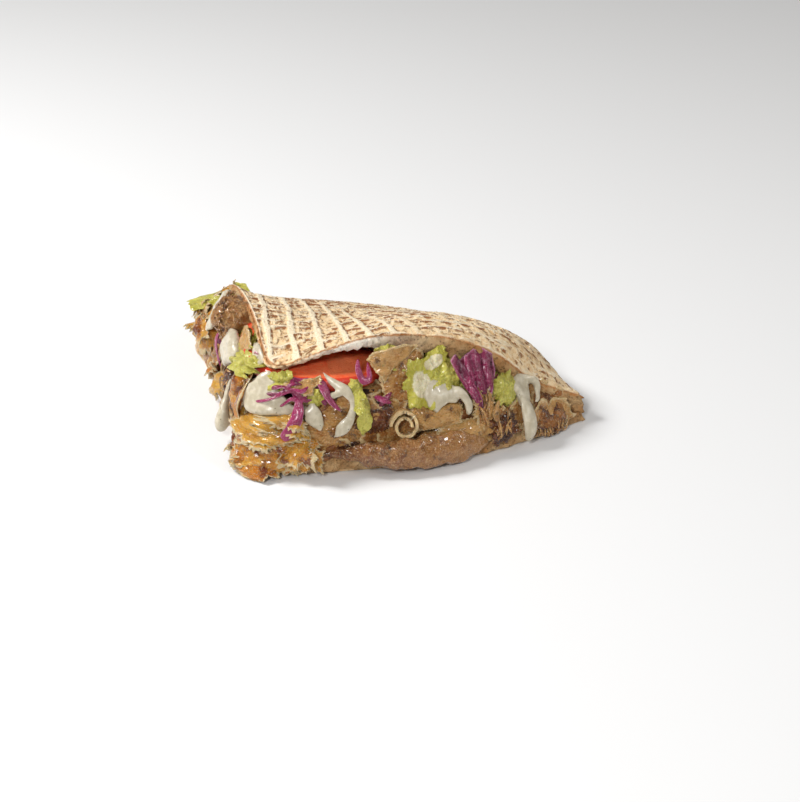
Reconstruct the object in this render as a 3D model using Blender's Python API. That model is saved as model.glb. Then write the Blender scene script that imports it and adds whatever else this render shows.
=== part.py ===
"""Doner kebab sandwich: a quarter of a round grilled flatbread, split and filled.

The bread is one solid: two flaps that open at the two straight cuts and join along the round crust.
A heap of sliced meat and a layer of shredded salad run through it, with two tomato slices. Single
slices of meat, leaves, shreds and blobs of sauce lie on the open face, each on the ones behind it.

Lengths are in millimetres until a mesh is made, and metres after that. X runs along the front cut,
Y along the left cut, Z is up. The origin is the middle of the object's box, at its base.

Three numbers give a place on the open face. cut runs along both cuts: -1 at the right tip, 0 at the
front-left corner, 1 at the back end of the left cut. rise is the height above the ground, and out is
the distance in front of the filling.
"""

import math

import bmesh
import bpy
import numpy as np
from mathutils.bvhtree import BVHTree

MM = 0.001

# The bread: its two straight cuts and its round crust
FRONT_CUT = 174.0
LEFT_CUT = 158.0
LEFT_LEAN = 14.0  # how far the left cut leans to the right over its length
CORNER_SOFTNESS = 0.05
CRUST_X = 172.0  # half axes of the crust's quarter ellipse
CRUST_Y = 163.0
CRUST_ANGLES = (4.0, 85.0)
CRUST_ROUND = 6.0  # how far the crust bulges past the two flaps' surfaces
POCKET_END = 0.9  # the pocket reaches this share of the way from the cut to the crust
LEAST_POCKET = 5.0  # the filling stops where the pocket is lower than this
FLAP_THICKNESS = 9.0
BASE_THICKNESS = 8.5
GAP = 0.3  # between touching pieces

# Heights and thicknesses along the cuts, as (cut, value) pairs
TOP_EDGE_HEIGHT = (
    (-1.0, 15), (-0.92, 21), (-0.82, 31), (-0.74, 44), (-0.63, 56), (-0.47, 64.5), (-0.33, 67),
    (-0.17, 65), (0.0, 65), (0.25, 65), (0.42, 62), (0.63, 55), (0.82, 45), (1.0, 31),
)
TIP_DROOP = 9.0  # the free corner of the upper flap hangs lower, fading out over this distance
DROOP_REACH = 28.0
TOP_EDGE_THICKNESS = (
    (-1.0, 6), (-0.85, 8), (-0.7, 10.5), (-0.45, 10.5), (-0.35, 8), (-0.2, 5), (0.0, 4), (0.2, 5),
    (0.6, 9), (1.0, 9),
)
BASE_REACH = (  # how far the lower flap and the filling stand out in front of the upper flap
    (-1.0, 3), (-0.85, 12), (-0.7, 20), (-0.4, 23), (-0.15, 18), (0.0, 14), (0.2, 12), (0.45, 15),
    (0.7, 17), (1.0, 20),
)
HINGE_HEIGHT = ((-1.0, 13), (-0.75, 20), (-0.5, 20), (0.0, 19), (0.4, 17), (0.8, 19), (1.0, 27))
FLAP_BULGE = (
    (-1.0, 1), (-0.75, 8), (-0.5, 10), (-0.2, 11), (0.0, 9), (0.2, 6), (0.5, 1), (0.8, -3), (1.0, -1),
)

# The filling's open face
FACE_BULGE = 3.0
FACE_TILT = 25.0  # degrees that "out" points upwards
CUT_MM = 166.0  # millimetres for one unit of cut
MEAT_SHARE = 0.62  # the meat's share of the pocket's height, with salad above it
HEAP_ENDS = (-0.9, 0.94)

TOMATO_THICKNESS = 6.5
TOMATO_SAG = 0.006  # how fast a slice bends down under the flap, per millimetre squared
SAG_START = -10.0  # where it starts to, in millimetres from the slice's middle
# Each slice: name, middle, radius, degrees tilted down to the front and to the right
TOMATO_SLICES = (
    ("tomato_slice_corner", (36.0, 31.0, 46.5), 42.0, 4.0, 2.0),
    ("tomato_slice_right", (74.0, 20.0, 38.0), 25.0, 3.0, 0.0),
)

STATIONS = 37  # cross-sections of the bread along the cuts
PHASE_STEP = 1.7  # radians between one piece's lobes and the next one's

# Colour, roughness of each food
FOODS = {
    "crust": ((0.78, 0.58, 0.36), 0.75),
    "meat": ((0.36, 0.18, 0.08), 0.45),
    "crisp_meat": ((0.62, 0.30, 0.07), 0.40),
    "tomato": ((0.62, 0.10, 0.03), 0.20),
    "lettuce": ((0.55, 0.58, 0.10), 0.40),
    "red_cabbage": ((0.34, 0.02, 0.14), 0.35),
    "sauce": ((0.86, 0.82, 0.72), 0.30),
}

# Flat pieces: name, food, cut, rise, width, height, turn in degrees, thickness, number of lobes.
# They are laid from the back to the front.
FLAT_PIECES = (
    ("meat_slice_behind", "meat", -0.407, 45, 25, 22, 10, 3.5, 3),
    ("meat_slice_front", "meat", -0.165, 27, 33, 28, 0, 3.5, 4),
    ("meat_slice_dark", "meat", -0.315, 30, 13, 14, 20, 3.5, 3),
    ("meat_slice_middle", "meat", -0.495, 24, 26, 12, -5, 3.5, 4),
    ("meat_slice_wide", "meat", -0.60, 12, 32, 15, 8, 4.0, 5),
    ("meat_slice_right", "meat", -0.883, 9.5, 22, 16, 0, 4.0, 4),
    ("meat_crumbled", "meat", -0.70, 12, 12, 13, 0, 3.5, 5),
    ("meat_slice_pointed", "meat", -0.38, 51, 25, 9, -20, 2.5, 2),
    ("meat_slice_small", "meat", -0.10, 45.5, 17, 7.5, 5, 2.5, 3),
    ("meat_frayed", "meat", -0.643, 24, 10, 12, 20, 2.5, 6),
    ("meat_dark_left", "meat", 0.275, 27, 26, 24, 15, 3.5, 5),
    ("meat_slice_left", "meat", 0.55, 19, 28, 17, 10, 3.5, 4),
    ("meat_orange_left", "crisp_meat", 0.76, 19, 26, 12, 15, 3.5, 3),
    ("meat_far_left", "meat", 0.92, 15, 20, 9, 0, 3.5, 5),
    ("meat_pale_left", "meat", 0.225, 53, 14, 8, 30, 2.5, 2),
    ("meat_ball_left", "crisp_meat", 0.43, 47, 21, 19, 0, 13.0, 3),
    ("crisp_flake_top", "crisp_meat", 0.0, 31, 27, 12, 0, 3.0, 5),
    ("crisp_flake_upper", "crisp_meat", 0.03, 23, 24, 9, 8, 3.0, 6),
    ("crisp_flake_left", "crisp_meat", 0.075, 12, 13, 12, 0, 3.0, 5),
    ("crisp_flake_middle", "crisp_meat", -0.02, 15, 28, 10, -5, 3.0, 6),
    ("crisp_flake_low", "crisp_meat", -0.025, 7, 23, 11, 5, 3.0, 5),
    ("crisp_fringe_left", "crisp_meat", 0.42, 17, 9, 16, 10, 2.5, 4),
    ("red_cabbage_under_tomato", "red_cabbage", -0.07, 47.5, 14, 4, 0, 2.0, 3),
    ("red_cabbage_dark", "red_cabbage", -0.155, 43, 7, 11, 0, 2.0, 3),
    ("red_cabbage_loop", "red_cabbage", -0.282, 50, 7, 9, -10, 2.5, 2),
    ("red_cabbage_bits", "red_cabbage", -0.33, 36, 8, 5, 0, 2.0, 4),
    ("red_cabbage_cluster", "red_cabbage", -0.055, 41.5, 16, 7, 10, 2.0, 5),
    ("red_cabbage_leaf", "red_cabbage", -0.62, 36, 22, 23, 10, 3.0, 5),
    ("lettuce_top", "lettuce", -0.365, 56, 9, 6, 0, 2.5, 5),
    ("lettuce_pale", "lettuce", -0.505, 48.5, 19, 8, 15, 2.5, 5),
    ("lettuce_middle", "lettuce", -0.54, 41, 15, 8, 10, 2.5, 6),
    ("lettuce_rib", "lettuce", -0.455, 40, 17, 19, 0, 2.5, 5),
    ("lettuce_nub", "lettuce", -0.252, 44, 5.5, 5, 0, 2.5, 4),
    ("lettuce_small", "lettuce", -0.127, 40, 6, 6, 0, 2.0, 5),
    ("lettuce_right", "lettuce", -0.73, 29, 13, 9, 10, 2.5, 6),
    ("lettuce_corner", "lettuce", -0.037, 48, 8, 8, 0, 2.5, 5),
    ("lettuce_left", "lettuce", 0.14, 49, 18, 11, -10, 3.0, 6),
    ("lettuce_back", "lettuce", 0.94, 25, 20, 9, 10, 2.5, 5),
    ("lettuce_back_frill", "lettuce", 0.70, 39, 24, 8, 20, 2.5, 7),
    ("sauce_middle", "sauce", -0.52, 33, 20, 11, 15, 3.0, 3),
    ("sauce_corner", "sauce", -0.02, 41, 25, 15, 15, 3.5, 3),
    ("sauce_left", "sauce", 0.31, 42, 19, 13, 15, 4.0, 2),
    ("sauce_on_ball", "sauce", 0.63, 34, 14, 13, 0, 3.5, 3),
    ("sauce_on_tomato", "sauce", 0.10, 55, 9, 7, 0, 2.0, 3),
)

# Long pieces: name, food, cut, rise, (along, up) points of the middle line, width, thickness.
# They are laid after the flat ones.
LONG_PIECES = (
    ("meat_fold", "meat", -0.34, 10.0, ((46, 2.5), (20, 2), (-5, 0.5), (-30, -1)), 13.0, 8.0),
    ("meat_roll", "meat", -0.385, 22.0, ((3, 6), (0, 0), (-1, -5)), 13.0, 7.0),
    ("meat_curl", "meat", -0.698, 20.0, ((3, 6), (-2, 3), (-3, -2), (0, -6)), 3.0, 3.0),
    ("meat_curl_left", "crisp_meat", 0.04, 34.0, ((3, 13), (0, 4), (0, -5), (3, -14)), 9.0, 4.0),
    ("red_cabbage_strip", "red_cabbage", -0.085, 32.0, ((-4, 8), (-1, 0), (2, -8)), 5.0, 2.0),
    ("red_cabbage_left", "red_cabbage", 0.50, 30.5, ((12, -6), (0, 0), (-12, 5)), 4.0, 2.0),
    ("lettuce_frill", "lettuce", -0.262, 32.5, ((0, 9), (-1, 2), (1, -4), (0, -9)), 8.0, 3.0),
    ("sauce_drop", "sauce", -0.115, 31.0, ((1, 5), (0, 0), (-1, -5)), 6.0, 3.5),
    ("sauce_drape", "sauce", -0.20, 36.0, ((6, 11), (0, 3), (-4, -5), (-2, -12)), 6.0, 2.5),
    ("sauce_drip_right", "sauce", -0.79, 15.0, ((-3, 11), (1, 5), (0, -4), (-1, -12)), 8.0, 5.0),
    ("sauce_drip_left", "sauce", 0.20, 17.0, ((-4, 8), (0, 0), (5, -8)), 5.0, 3.0),
)


def through(pairs, where):
    """A smooth curve through (place, value) pairs: cubic pieces that share their slopes."""
    places, values = np.array(pairs, float).T
    slopes = np.gradient(values, places)
    where = np.clip(np.asarray(where, float), places[0], places[-1])
    first = np.clip(np.searchsorted(places, where) - 1, 0, len(places) - 2)
    span = places[first + 1] - places[first]
    t = (where - places[first]) / span
    return (
        (2 * t**3 - 3 * t**2 + 1) * values[first]
        + (t**3 - 2 * t**2 + t) * span * slopes[first]
        + (3 * t**2 - 2 * t**3) * values[first + 1]
        + (t**3 - t**2) * span * slopes[first + 1]
    )


def smooth(t):
    """0 below 0, 1 above 1, and an S curve between them."""
    t = np.clip(t, 0, 1)
    return t * t * (3 - 2 * t)


def softened(t):
    """The larger of t and 0, with its corner rounded off."""
    return 0.5 * (t + np.sqrt(t * t + CORNER_SOFTNESS**2))


def top_plan(cut):
    """The upper flap's cut edge from above: the front cut, a rounded corner, the left cut."""
    cut = np.asarray(cut, float)
    front, left = softened(-cut), softened(cut)
    return np.stack([FRONT_CUT * front + LEFT_LEAN * left, LEFT_CUT * left], -1)


def outward(cut, step=1e-3):
    """The direction that faces away from the bread, square to the cut edge."""
    cut = np.asarray(cut, float)
    along = top_plan(cut + step) - top_plan(cut - step)
    along /= np.linalg.norm(along, axis=-1, keepdims=True)
    return np.stack([-along[..., 1], along[..., 0]], -1)


def base_plan(cut):
    """The lower flap's cut edge from above."""
    return top_plan(cut) + outward(cut) * through(BASE_REACH, cut)[..., None]


def crust_plan(cut):
    """The round crust from above: a quarter of an ellipse."""
    start, end = CRUST_ANGLES
    angle = np.radians(start + (end - start) * (np.asarray(cut, float) + 1) / 2)
    return np.stack([CRUST_X * np.cos(angle), CRUST_Y * np.sin(angle)], -1)


def between(near, far, depth):
    """Points a share of the way from one outline to another."""
    return near + (far - near) * depth


def base_thickness(cut):
    """The lower flap thins out towards the right tip."""
    return BASE_THICKNESS - 4.0 * smooth((-0.8 - np.asarray(cut, float)) / 0.2)


def top_height(cut, depth):
    """The upper surface: from the cut edge's height to the hinge's, bulging, with a drooping tip."""
    depth = np.asarray(depth, float)
    line = through(TOP_EDGE_HEIGHT, cut) * (1 - depth) + through(HINGE_HEIGHT, cut) * depth
    spot = between(top_plan(cut), crust_plan(cut), depth[..., None])
    droop = TIP_DROOP * np.exp(-np.sum((spot / DROOP_REACH) ** 2, axis=-1))
    return line + through(FLAP_BULGE, cut) * 4 * depth * (1 - depth) - droop


def under_height(cut, depth):
    """The upper flap's underside: squeezed thin at the cut, full thickness further in."""
    edge = through(TOP_EDGE_THICKNESS, cut)
    thickness = edge + (FLAP_THICKNESS - edge) * smooth(depth / 0.5)
    return np.maximum(top_height(cut, depth) - thickness, base_thickness(cut) + 1.2)


def face(cut, rise):
    """The filling's open face, leaning back from the lower flap's edge to the upper flap's."""
    cut, rise = np.broadcast_arrays(np.asarray(cut, float), np.asarray(rise, float))
    base = base_thickness(cut)
    share = np.clip((rise - base) / (under_height(cut, 0.0) - base), 0, 1.2)
    plan = base_plan(cut) * (1 - share[..., None]) + top_plan(cut) * share[..., None]
    plan = plan + outward(cut) * (FACE_BULGE * np.sin(np.pi * np.clip(share, 0, 1)))[..., None]
    return np.concatenate([plan, rise[..., None]], -1)


def placed(cut, rise, out):
    """The point a distance out in front of the face, outwards and a little upwards."""
    cut, rise, out = np.broadcast_arrays(*(np.asarray(v, float) for v in (cut, rise, out)))
    tilt = np.radians(FACE_TILT) * smooth((rise - 4) / 12)
    sideways = outward(cut) * np.cos(tilt)[..., None]
    direction = np.concatenate([sideways, np.sin(tilt)[..., None]], -1)
    return face(cut, rise) + direction * out[..., None]


def loops_to_solid(loops):
    """A closed solid from a row of closed loops, with both end loops capped."""
    rows, points = len(loops), len(loops[0])
    vertices = [tuple(p) for loop in loops for p in loop]
    faces = []
    for row in range(rows - 1):
        for k in range(points):
            after = (k + 1) % points
            a, b = row * points + k, row * points + after
            faces.append((a, b, b + points, a + points))
    faces.append(tuple(range(points - 1, -1, -1)))
    faces.append(tuple((rows - 1) * points + k for k in range(points)))
    return vertices, faces


def material(food):
    """The food's Principled material, made once."""
    found = bpy.data.materials.get(food)
    if found:
        return found
    colour, roughness = FOODS[food]
    made = bpy.data.materials.new(food)
    made.use_nodes = True
    shader = made.node_tree.nodes["Principled BSDF"]
    shader.inputs["Base Color"].default_value = (*colour, 1.0)
    shader.inputs["Roughness"].default_value = roughness
    made.diffuse_color = (*colour, 1.0)
    return made


def mesh_object(name, food, vertices, faces):
    """An object in metres, with triangles that face outwards."""
    mesh = bpy.data.meshes.new(name)
    mesh.from_pydata([tuple(c * MM for c in v) for v in vertices], [], faces)
    shape = bmesh.new()
    shape.from_mesh(mesh)
    bmesh.ops.triangulate(shape, faces=shape.faces)
    bmesh.ops.recalc_face_normals(shape, faces=shape.faces)
    shape.to_mesh(mesh)
    shape.free()
    mesh.shade_smooth()
    mesh.set_sharp_from_angle(angle=math.radians(50))
    mesh.materials.append(material(food))
    made = bpy.data.objects.new(name, mesh)
    bpy.context.scene.collection.objects.link(made)
    return made


def stations():
    """Places of the bread's cross-sections, closer together at the corner."""
    t = np.linspace(-1, 1, STATIONS)
    return t * (0.75 + 0.25 * t * t)


def bread_section(cut):
    """One closed cross-section of the bread, from the lower flap round the hinge to the upper one."""
    top, base, crust = top_plan(cut), base_plan(cut), crust_plan(cut)
    floor = base_thickness(cut)
    hinge = through(HINGE_HEIGHT, cut)
    reach = np.linalg.norm(crust - top)
    inset = 1 - min(0.35, CRUST_ROUND / reach)
    points = [(*between(base, crust, s * inset), 0.0) for s in np.linspace(0, 1, 3)]
    for angle in np.radians((-45, 0, 45)):
        depth = inset + (1 - inset) * math.cos(angle)
        points.append((*between(top, crust, depth), hinge * (0.5 + 0.5 * math.sin(angle))))
    for depth in np.linspace(inset, 0, 9):
        points.append((*between(top, crust, depth), float(top_height(cut, depth))))
    for depth in np.linspace(0, POCKET_END, 7):
        points.append((*between(top, crust, depth), float(under_height(cut, depth))))
    for depth in (POCKET_END, 0.0):
        points.append((*between(base, crust, depth), float(floor)))
    return points


def make_bread():
    return mesh_object("bread", "crust", *loops_to_solid([bread_section(q) for q in stations()]))


def heap_height(cut, depth, share):
    """A height inside the pocket: 0 is on the lower flap and 1 is under the upper flap."""
    floor = base_thickness(cut)
    return floor + share * (under_height(cut, depth) - floor)


def heap_depth(cut):
    """How far in the filling reaches: to the pocket's end, or to where the pocket gets too low."""
    depths = np.linspace(0, POCKET_END - 0.05, 60)
    low = under_height(cut, depths) - base_thickness(cut) < LEAST_POCKET
    return float(depths[np.argmax(low)]) if low.any() else float(depths[-1])


def heap_section(cut, low, high, clear_low, clear_high):
    """A cross-section of a layer of the filling, between two shares of the pocket's height."""
    crust = crust_plan(cut)
    inset = outward(cut) * 2 * GAP
    front = []
    for share in np.linspace(low, high, 4):
        spot = face(cut, heap_height(cut, 0.0, share))
        front.append(np.array([*(spot[:2] - inset), spot[2]]))
    front[0][2] += clear_low
    front[-1][2] -= clear_high
    depths = np.linspace(0, heap_depth(cut), 6)[1:]
    upper = [
        (*between(front[-1][:2], crust, d), float(heap_height(cut, d, high)) - clear_high)
        for d in depths
    ]
    lower = [
        (*between(front[0][:2], crust, d), float(heap_height(cut, d, low)) + clear_low)
        for d in depths[::-1]
    ]
    return [tuple(p) for p in front] + upper + lower


def make_heap(name, food, low, high):
    """A layer that runs through the food from one end of the cuts to the other."""
    inside = [q for q in stations() if HEAP_ENDS[0] < q < HEAP_ENDS[1]]
    # flat facets of a curved surface need a little more room than the gap itself
    loops = [heap_section(q, low, high, GAP, 3 * GAP) for q in inside]
    return mesh_object(name, food, *loops_to_solid(loops))


def make_disc(name, middle, radius, to_front, to_right, thickness):
    """A round slice with a rounded, slightly lobed rim, which sags towards the back of the pocket."""
    around = 24
    profile = ((0.94, -0.5), (1.0, -0.2), (1.0, 0.2), (0.94, 0.5))
    loops = []
    for share, height in profile:
        angle = np.linspace(0, 2 * np.pi, around, endpoint=False)
        reach = radius * share * (1 + 0.02 * np.cos(5 * angle))
        x, y = reach * np.cos(angle), reach * np.sin(angle)
        sag = TOMATO_SAG * np.maximum((x + y) / math.sqrt(2) - SAG_START, 0) ** 2
        loops.append(np.stack([x, y, height * thickness - sag], -1))
    made = mesh_object(name, "tomato", *loops_to_solid(loops))
    made.rotation_euler = (math.radians(to_front), math.radians(to_right), 0.0)
    made.location = [c * MM for c in middle]
    return made


def cut_away(piece, cutter):
    """Leave room in a piece for another one."""
    cut = piece.modifiers.new(cutter.name, "BOOLEAN")
    cut.operation = "DIFFERENCE"
    cut.solver = "EXACT"
    cut.object = cutter


def make_tomato(layers):
    """The two slices, with their room cut out of the layers of filling around them."""
    made = []
    for name, middle, radius, *tilts in TOMATO_SLICES:
        disc = make_disc(name, middle, radius, *tilts, TOMATO_THICKNESS)
        room = make_disc(
            name + "_room", middle, radius + 2 * GAP, *tilts, TOMATO_THICKNESS + 2 * GAP
        )
        room.hide_render = True
        room.display_type = "WIRE"
        for piece in layers + made:
            cut_away(piece, room)
        made.append(disc)
    return made


def flat_outline(width, height, turn, lobes, phase, around):
    """Angle by angle, a lobed oval: along and up distances from the piece's middle."""
    angle = np.linspace(0, 2 * np.pi, around, endpoint=False)
    ragged = 1 + 0.09 * np.sin(lobes * angle + phase) + 0.05 * np.sin((lobes + 3) * angle + 2 * phase)
    along, up = 0.5 * width * ragged * np.cos(angle), 0.5 * height * ragged * np.sin(angle)
    turn = math.radians(turn)
    return along * math.cos(turn) - up * math.sin(turn), along * math.sin(turn) + up * math.cos(turn)


def flat_piece(cut, rise, width, height, turn, thickness, lobes, phase, out):
    """A pebble-like slab on the face: two sheets of rings that meet at a thin rim."""
    around = 12
    along, up = flat_outline(width, height, turn, lobes, phase, around)
    rings = ((1.0, 0.35), (0.62, 0.92))
    points, faces = [], []
    for side in (0, 1):
        for share, swell in rings:
            height_out = out + (thickness * swell if side else 0.0)
            points += list(placed(cut - share * along / CUT_MM, rise + share * up, height_out))
        points.append(placed(cut, rise, out + (thickness if side else 0.0)))
    sheet = 2 * around + 1
    for side in (0, 1):
        start = side * sheet
        for k in range(around):
            after = (k + 1) % around
            outer, inner = start + k, start + around + k
            outer_next, inner_next = start + after, start + around + after
            faces.append((outer, outer_next, inner_next, inner))
            faces.append((inner, inner_next, start + 2 * around))
    faces += [(k, (k + 1) % around, sheet + (k + 1) % around, sheet + k) for k in range(around)]
    return points, faces


def long_piece(cut, rise, line, width, thickness, out):
    """A tapered strap along a curved middle line, with a flattened hexagon for its section."""
    line = np.array(line, float)
    place = np.linspace(0, 1, len(line))
    steps = np.linspace(0, 1, 9)
    middle = np.stack([through(list(zip(place, line[:, k])), steps) for k in (0, 1)], -1)
    run = np.gradient(middle, axis=0)
    run /= np.linalg.norm(run, axis=1, keepdims=True)
    taper = 0.35 + 0.65 * np.sin(np.pi * (0.1 + 0.8 * steps)) ** 0.6
    loops = []
    for spot, direction, size in zip(middle, run, taper):
        loop = []
        for angle in np.radians(np.arange(0, 360, 60)):
            side = 0.5 * width * size * math.cos(angle)
            height = out + 0.5 * thickness * size * (1 + math.sin(angle))
            along = spot[0] - side * direction[1]
            up = spot[1] + side * direction[0]
            loop.append(tuple(placed(cut - along / CUT_MM, rise + up, height)))
        loops.append(loop)
    return loops_to_solid(loops)


def tree_of(made):
    """A search tree of an object's triangles, in world space."""
    shape = made.evaluated_get(bpy.context.evaluated_depsgraph_get())
    mesh = shape.to_mesh()
    corners = [made.matrix_world @ v.co for v in mesh.vertices]
    triangles = [tuple(p.vertices) for p in mesh.polygons]
    shape.to_mesh_clear()
    return BVHTree.FromPolygons(corners, triangles)


def fans(faces):
    """Convex faces split into triangles that share their first corner."""
    return [(face[0], a, b) for face in faces for a, b in zip(face[1:], face[2:])]


def laid_on(trees, shape_at):
    """The piece moved outwards in small steps, to the second step where it touches nothing."""
    out, clear_steps = GAP, 0
    while clear_steps < 2:
        out += GAP
        points, faces = shape_at(out)
        faces = fans(faces)
        tree = BVHTree.FromPolygons([tuple(c * MM for c in p) for p in points], faces)
        clear_steps = 0 if any(tree.overlap(other) for other in trees) else clear_steps + 1
    return points, faces


def make_pieces(trees):
    """The single slices, leaves, shreds and blobs, each laid on the ones before it."""
    for number, (name, food, cut, rise, *shape) in enumerate(FLAT_PIECES):
        phase = PHASE_STEP * number
        points, faces = laid_on(trees, lambda out: flat_piece(cut, rise, *shape, phase, out))
        trees.append(tree_of(mesh_object(name, food, points, faces)))
    for name, food, cut, rise, line, width, thickness in LONG_PIECES:
        points, faces = laid_on(
            trees, lambda out: long_piece(cut, rise, line, width, thickness, out)
        )
        trees.append(tree_of(mesh_object(name, food, points, faces)))


def centre_on_origin():
    """Hang every piece on one empty, moved so that the whole box stands over the origin."""
    pieces = [o for o in bpy.context.scene.objects if o.type == "MESH"]
    shown = [o for o in pieces if not o.hide_render]
    bpy.context.view_layer.update()
    corners = np.array([o.matrix_world @ v.co for o in shown for v in o.data.vertices])
    low, high = corners.min(axis=0), corners.max(axis=0)
    holder = bpy.data.objects.new("sandwich", None)
    bpy.context.scene.collection.objects.link(holder)
    holder.location = (-0.5 * (low[0] + high[0]), -0.5 * (low[1] + high[1]), 0.0)
    for piece in pieces:
        piece.parent = holder
    bpy.context.view_layer.update()


def main():
    for old in list(bpy.data.objects):
        bpy.data.objects.remove(old, do_unlink=True)
    bread = make_bread()
    meat = make_heap("meat_heap", "meat", 0.0, MEAT_SHARE)
    salad = make_heap("salad_heap", "lettuce", MEAT_SHARE, 1.0)
    tomato = make_tomato([meat, salad])
    bpy.context.view_layer.update()
    make_pieces([tree_of(o) for o in [bread, meat, salad] + tomato])
    centre_on_origin()


main()
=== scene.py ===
# %% [markdown]
# # A doner kebab sandwich
# The sandwich is a quarter of a round grilled flatbread, opened like a book and packed with sliced
# meat, salad, tomato and white sauce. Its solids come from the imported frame. Each cell below makes
# one food over them, at the same place and size, with the folds, frayed edges and colours of real food.

import math

import bpy
import numpy as np
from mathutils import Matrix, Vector


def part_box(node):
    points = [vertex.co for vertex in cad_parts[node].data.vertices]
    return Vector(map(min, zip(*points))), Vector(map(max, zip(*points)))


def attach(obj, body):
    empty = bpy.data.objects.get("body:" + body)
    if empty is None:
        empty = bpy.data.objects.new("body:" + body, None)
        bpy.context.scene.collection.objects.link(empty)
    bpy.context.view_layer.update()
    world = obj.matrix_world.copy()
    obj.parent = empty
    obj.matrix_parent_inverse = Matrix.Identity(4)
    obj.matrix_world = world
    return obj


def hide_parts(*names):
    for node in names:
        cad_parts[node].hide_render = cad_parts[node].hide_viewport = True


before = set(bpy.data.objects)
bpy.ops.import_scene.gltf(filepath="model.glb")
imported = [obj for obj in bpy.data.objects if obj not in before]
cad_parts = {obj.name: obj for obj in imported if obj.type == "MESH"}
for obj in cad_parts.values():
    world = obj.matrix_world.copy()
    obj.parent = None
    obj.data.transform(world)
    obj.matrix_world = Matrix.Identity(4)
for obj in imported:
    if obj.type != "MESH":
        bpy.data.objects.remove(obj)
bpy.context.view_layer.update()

# %% [markdown]
# ## Places on the sandwich
# The bread has two straight cuts that meet at a corner, and a round crust. A place is easiest to
# give as three numbers: how far along the cuts, how high, and how far out in front of the filling.
# These are the same smooth curves that the solids were made with, in millimetres.

# %% Numbers of the bread
MM = 0.001
FRONT_CUT = 174.0
LEFT_CUT = 158.0
LEFT_LEAN = 14.0  # how far the left cut leans to the right over its length
CORNER_SOFTNESS = 0.05  # in units of cut
CRUST_X = 172.0  # half axes of the crust's quarter ellipse
CRUST_Y = 163.0
CRUST_ANGLES = (4.0, 85.0)  # degrees, at the right tip and at the back end
FLAP_THICKNESS = 9.0
BASE_THICKNESS = 8.5
TIP_DROOP = 9.0  # the free corner of the upper flap hangs lower, fading out over this reach
DROOP_REACH = 28.0
# The next tables are (cut, millimetres) pairs: -1 is the right tip, 0 the corner, 1 the back end
TOP_EDGE_HEIGHT = (
    (-1.0, 15), (-0.92, 21), (-0.82, 31), (-0.74, 44), (-0.63, 56), (-0.47, 64.5), (-0.33, 67),
    (-0.17, 65), (0.0, 65), (0.25, 65), (0.42, 62), (0.63, 55), (0.82, 45), (1.0, 31),
)
TOP_EDGE_THICKNESS = (
    (-1.0, 11), (-0.9, 8), (-0.7, 10.5), (-0.45, 10), (-0.35, 7), (-0.2, 3.8), (0.0, 3), (0.2, 3.8),
    (0.6, 9), (1.0, 9),
)
BASE_REACH = (  # how far the lower flap and the filling stand out in front of the upper flap
    (-1.0, 3), (-0.85, 12), (-0.7, 20), (-0.4, 23), (-0.15, 18), (0.0, 14), (0.2, 12), (0.45, 15),
    (0.7, 17), (1.0, 20),
)
HINGE_HEIGHT = ((-1.0, 13), (-0.75, 20), (-0.5, 20), (0.0, 19), (0.4, 17), (0.8, 19), (1.0, 27))
FLAP_BULGE = (
    (-1.0, 1), (-0.75, 8), (-0.5, 10), (-0.2, 11), (0.0, 9), (0.2, 6), (0.5, 1), (0.8, -3), (1.0, -1),
)
FACE_BULGE = 3.0
FACE_TILT = 25.0  # degrees that "out" points upwards
CUT_MM = 166.0  # millimetres for one unit of cut
print("front cut:", FRONT_CUT, "mm, left cut:", LEFT_CUT, "mm, flap:", FLAP_THICKNESS, "mm")

# %% [markdown]
# A smooth curve runs through each table. From these curves come the cut edges as seen from above, the
# heights of both flaps, and the open face of the filling between them.

# %% Curves of the bread


def through(pairs, where):
    """A smooth curve through (place, value) pairs: cubic pieces that share their slopes."""
    places, values = np.array(pairs, float).T
    slopes = np.gradient(values, places)
    where = np.clip(np.asarray(where, float), places[0], places[-1])
    first = np.clip(np.searchsorted(places, where) - 1, 0, len(places) - 2)
    span = places[first + 1] - places[first]
    t = (where - places[first]) / span
    return (
        (2 * t**3 - 3 * t**2 + 1) * values[first]
        + (t**3 - 2 * t**2 + t) * span * slopes[first]
        + (3 * t**2 - 2 * t**3) * values[first + 1]
        + (t**3 - t**2) * span * slopes[first + 1]
    )


def smooth(t):
    """0 below 0, 1 above 1, and the S curve 3t^2 - 2t^3 between them."""
    t = np.clip(t, 0, 1)
    return t * t * (3 - 2 * t)


def softened(t):
    """The larger of t and 0, with its corner rounded: half of t plus the root of t^2 + softness^2."""
    return 0.5 * (t + np.sqrt(t * t + CORNER_SOFTNESS**2))


def top_plan(cut):
    """The upper flap's cut edge from above: front cut, rounded corner, left cut."""
    front, left = softened(-cut), softened(cut)
    return np.stack([FRONT_CUT * front + LEFT_LEAN * left, LEFT_CUT * left], -1)


def outward(cut, step=1e-3):
    """The direction away from the bread: the cut edge's direction, turned a quarter turn."""
    along = top_plan(cut + step) - top_plan(cut - step)
    along /= np.linalg.norm(along, axis=-1, keepdims=True)
    return np.stack([-along[..., 1], along[..., 0]], -1)


def base_plan(cut):
    """The lower flap's cut edge: the upper one, moved outwards."""
    return top_plan(cut) + outward(cut) * through(BASE_REACH, cut)[..., None]


def crust_plan(cut):
    """The round crust: a quarter of an ellipse."""
    start, end = CRUST_ANGLES
    angle = np.radians(start + (end - start) * (cut + 1) / 2)
    return np.stack([CRUST_X * np.cos(angle), CRUST_Y * np.sin(angle)], -1)


def between(near, far, share):
    """near + (far - near) * share."""
    return near + (far - near) * share[..., None]


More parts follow.
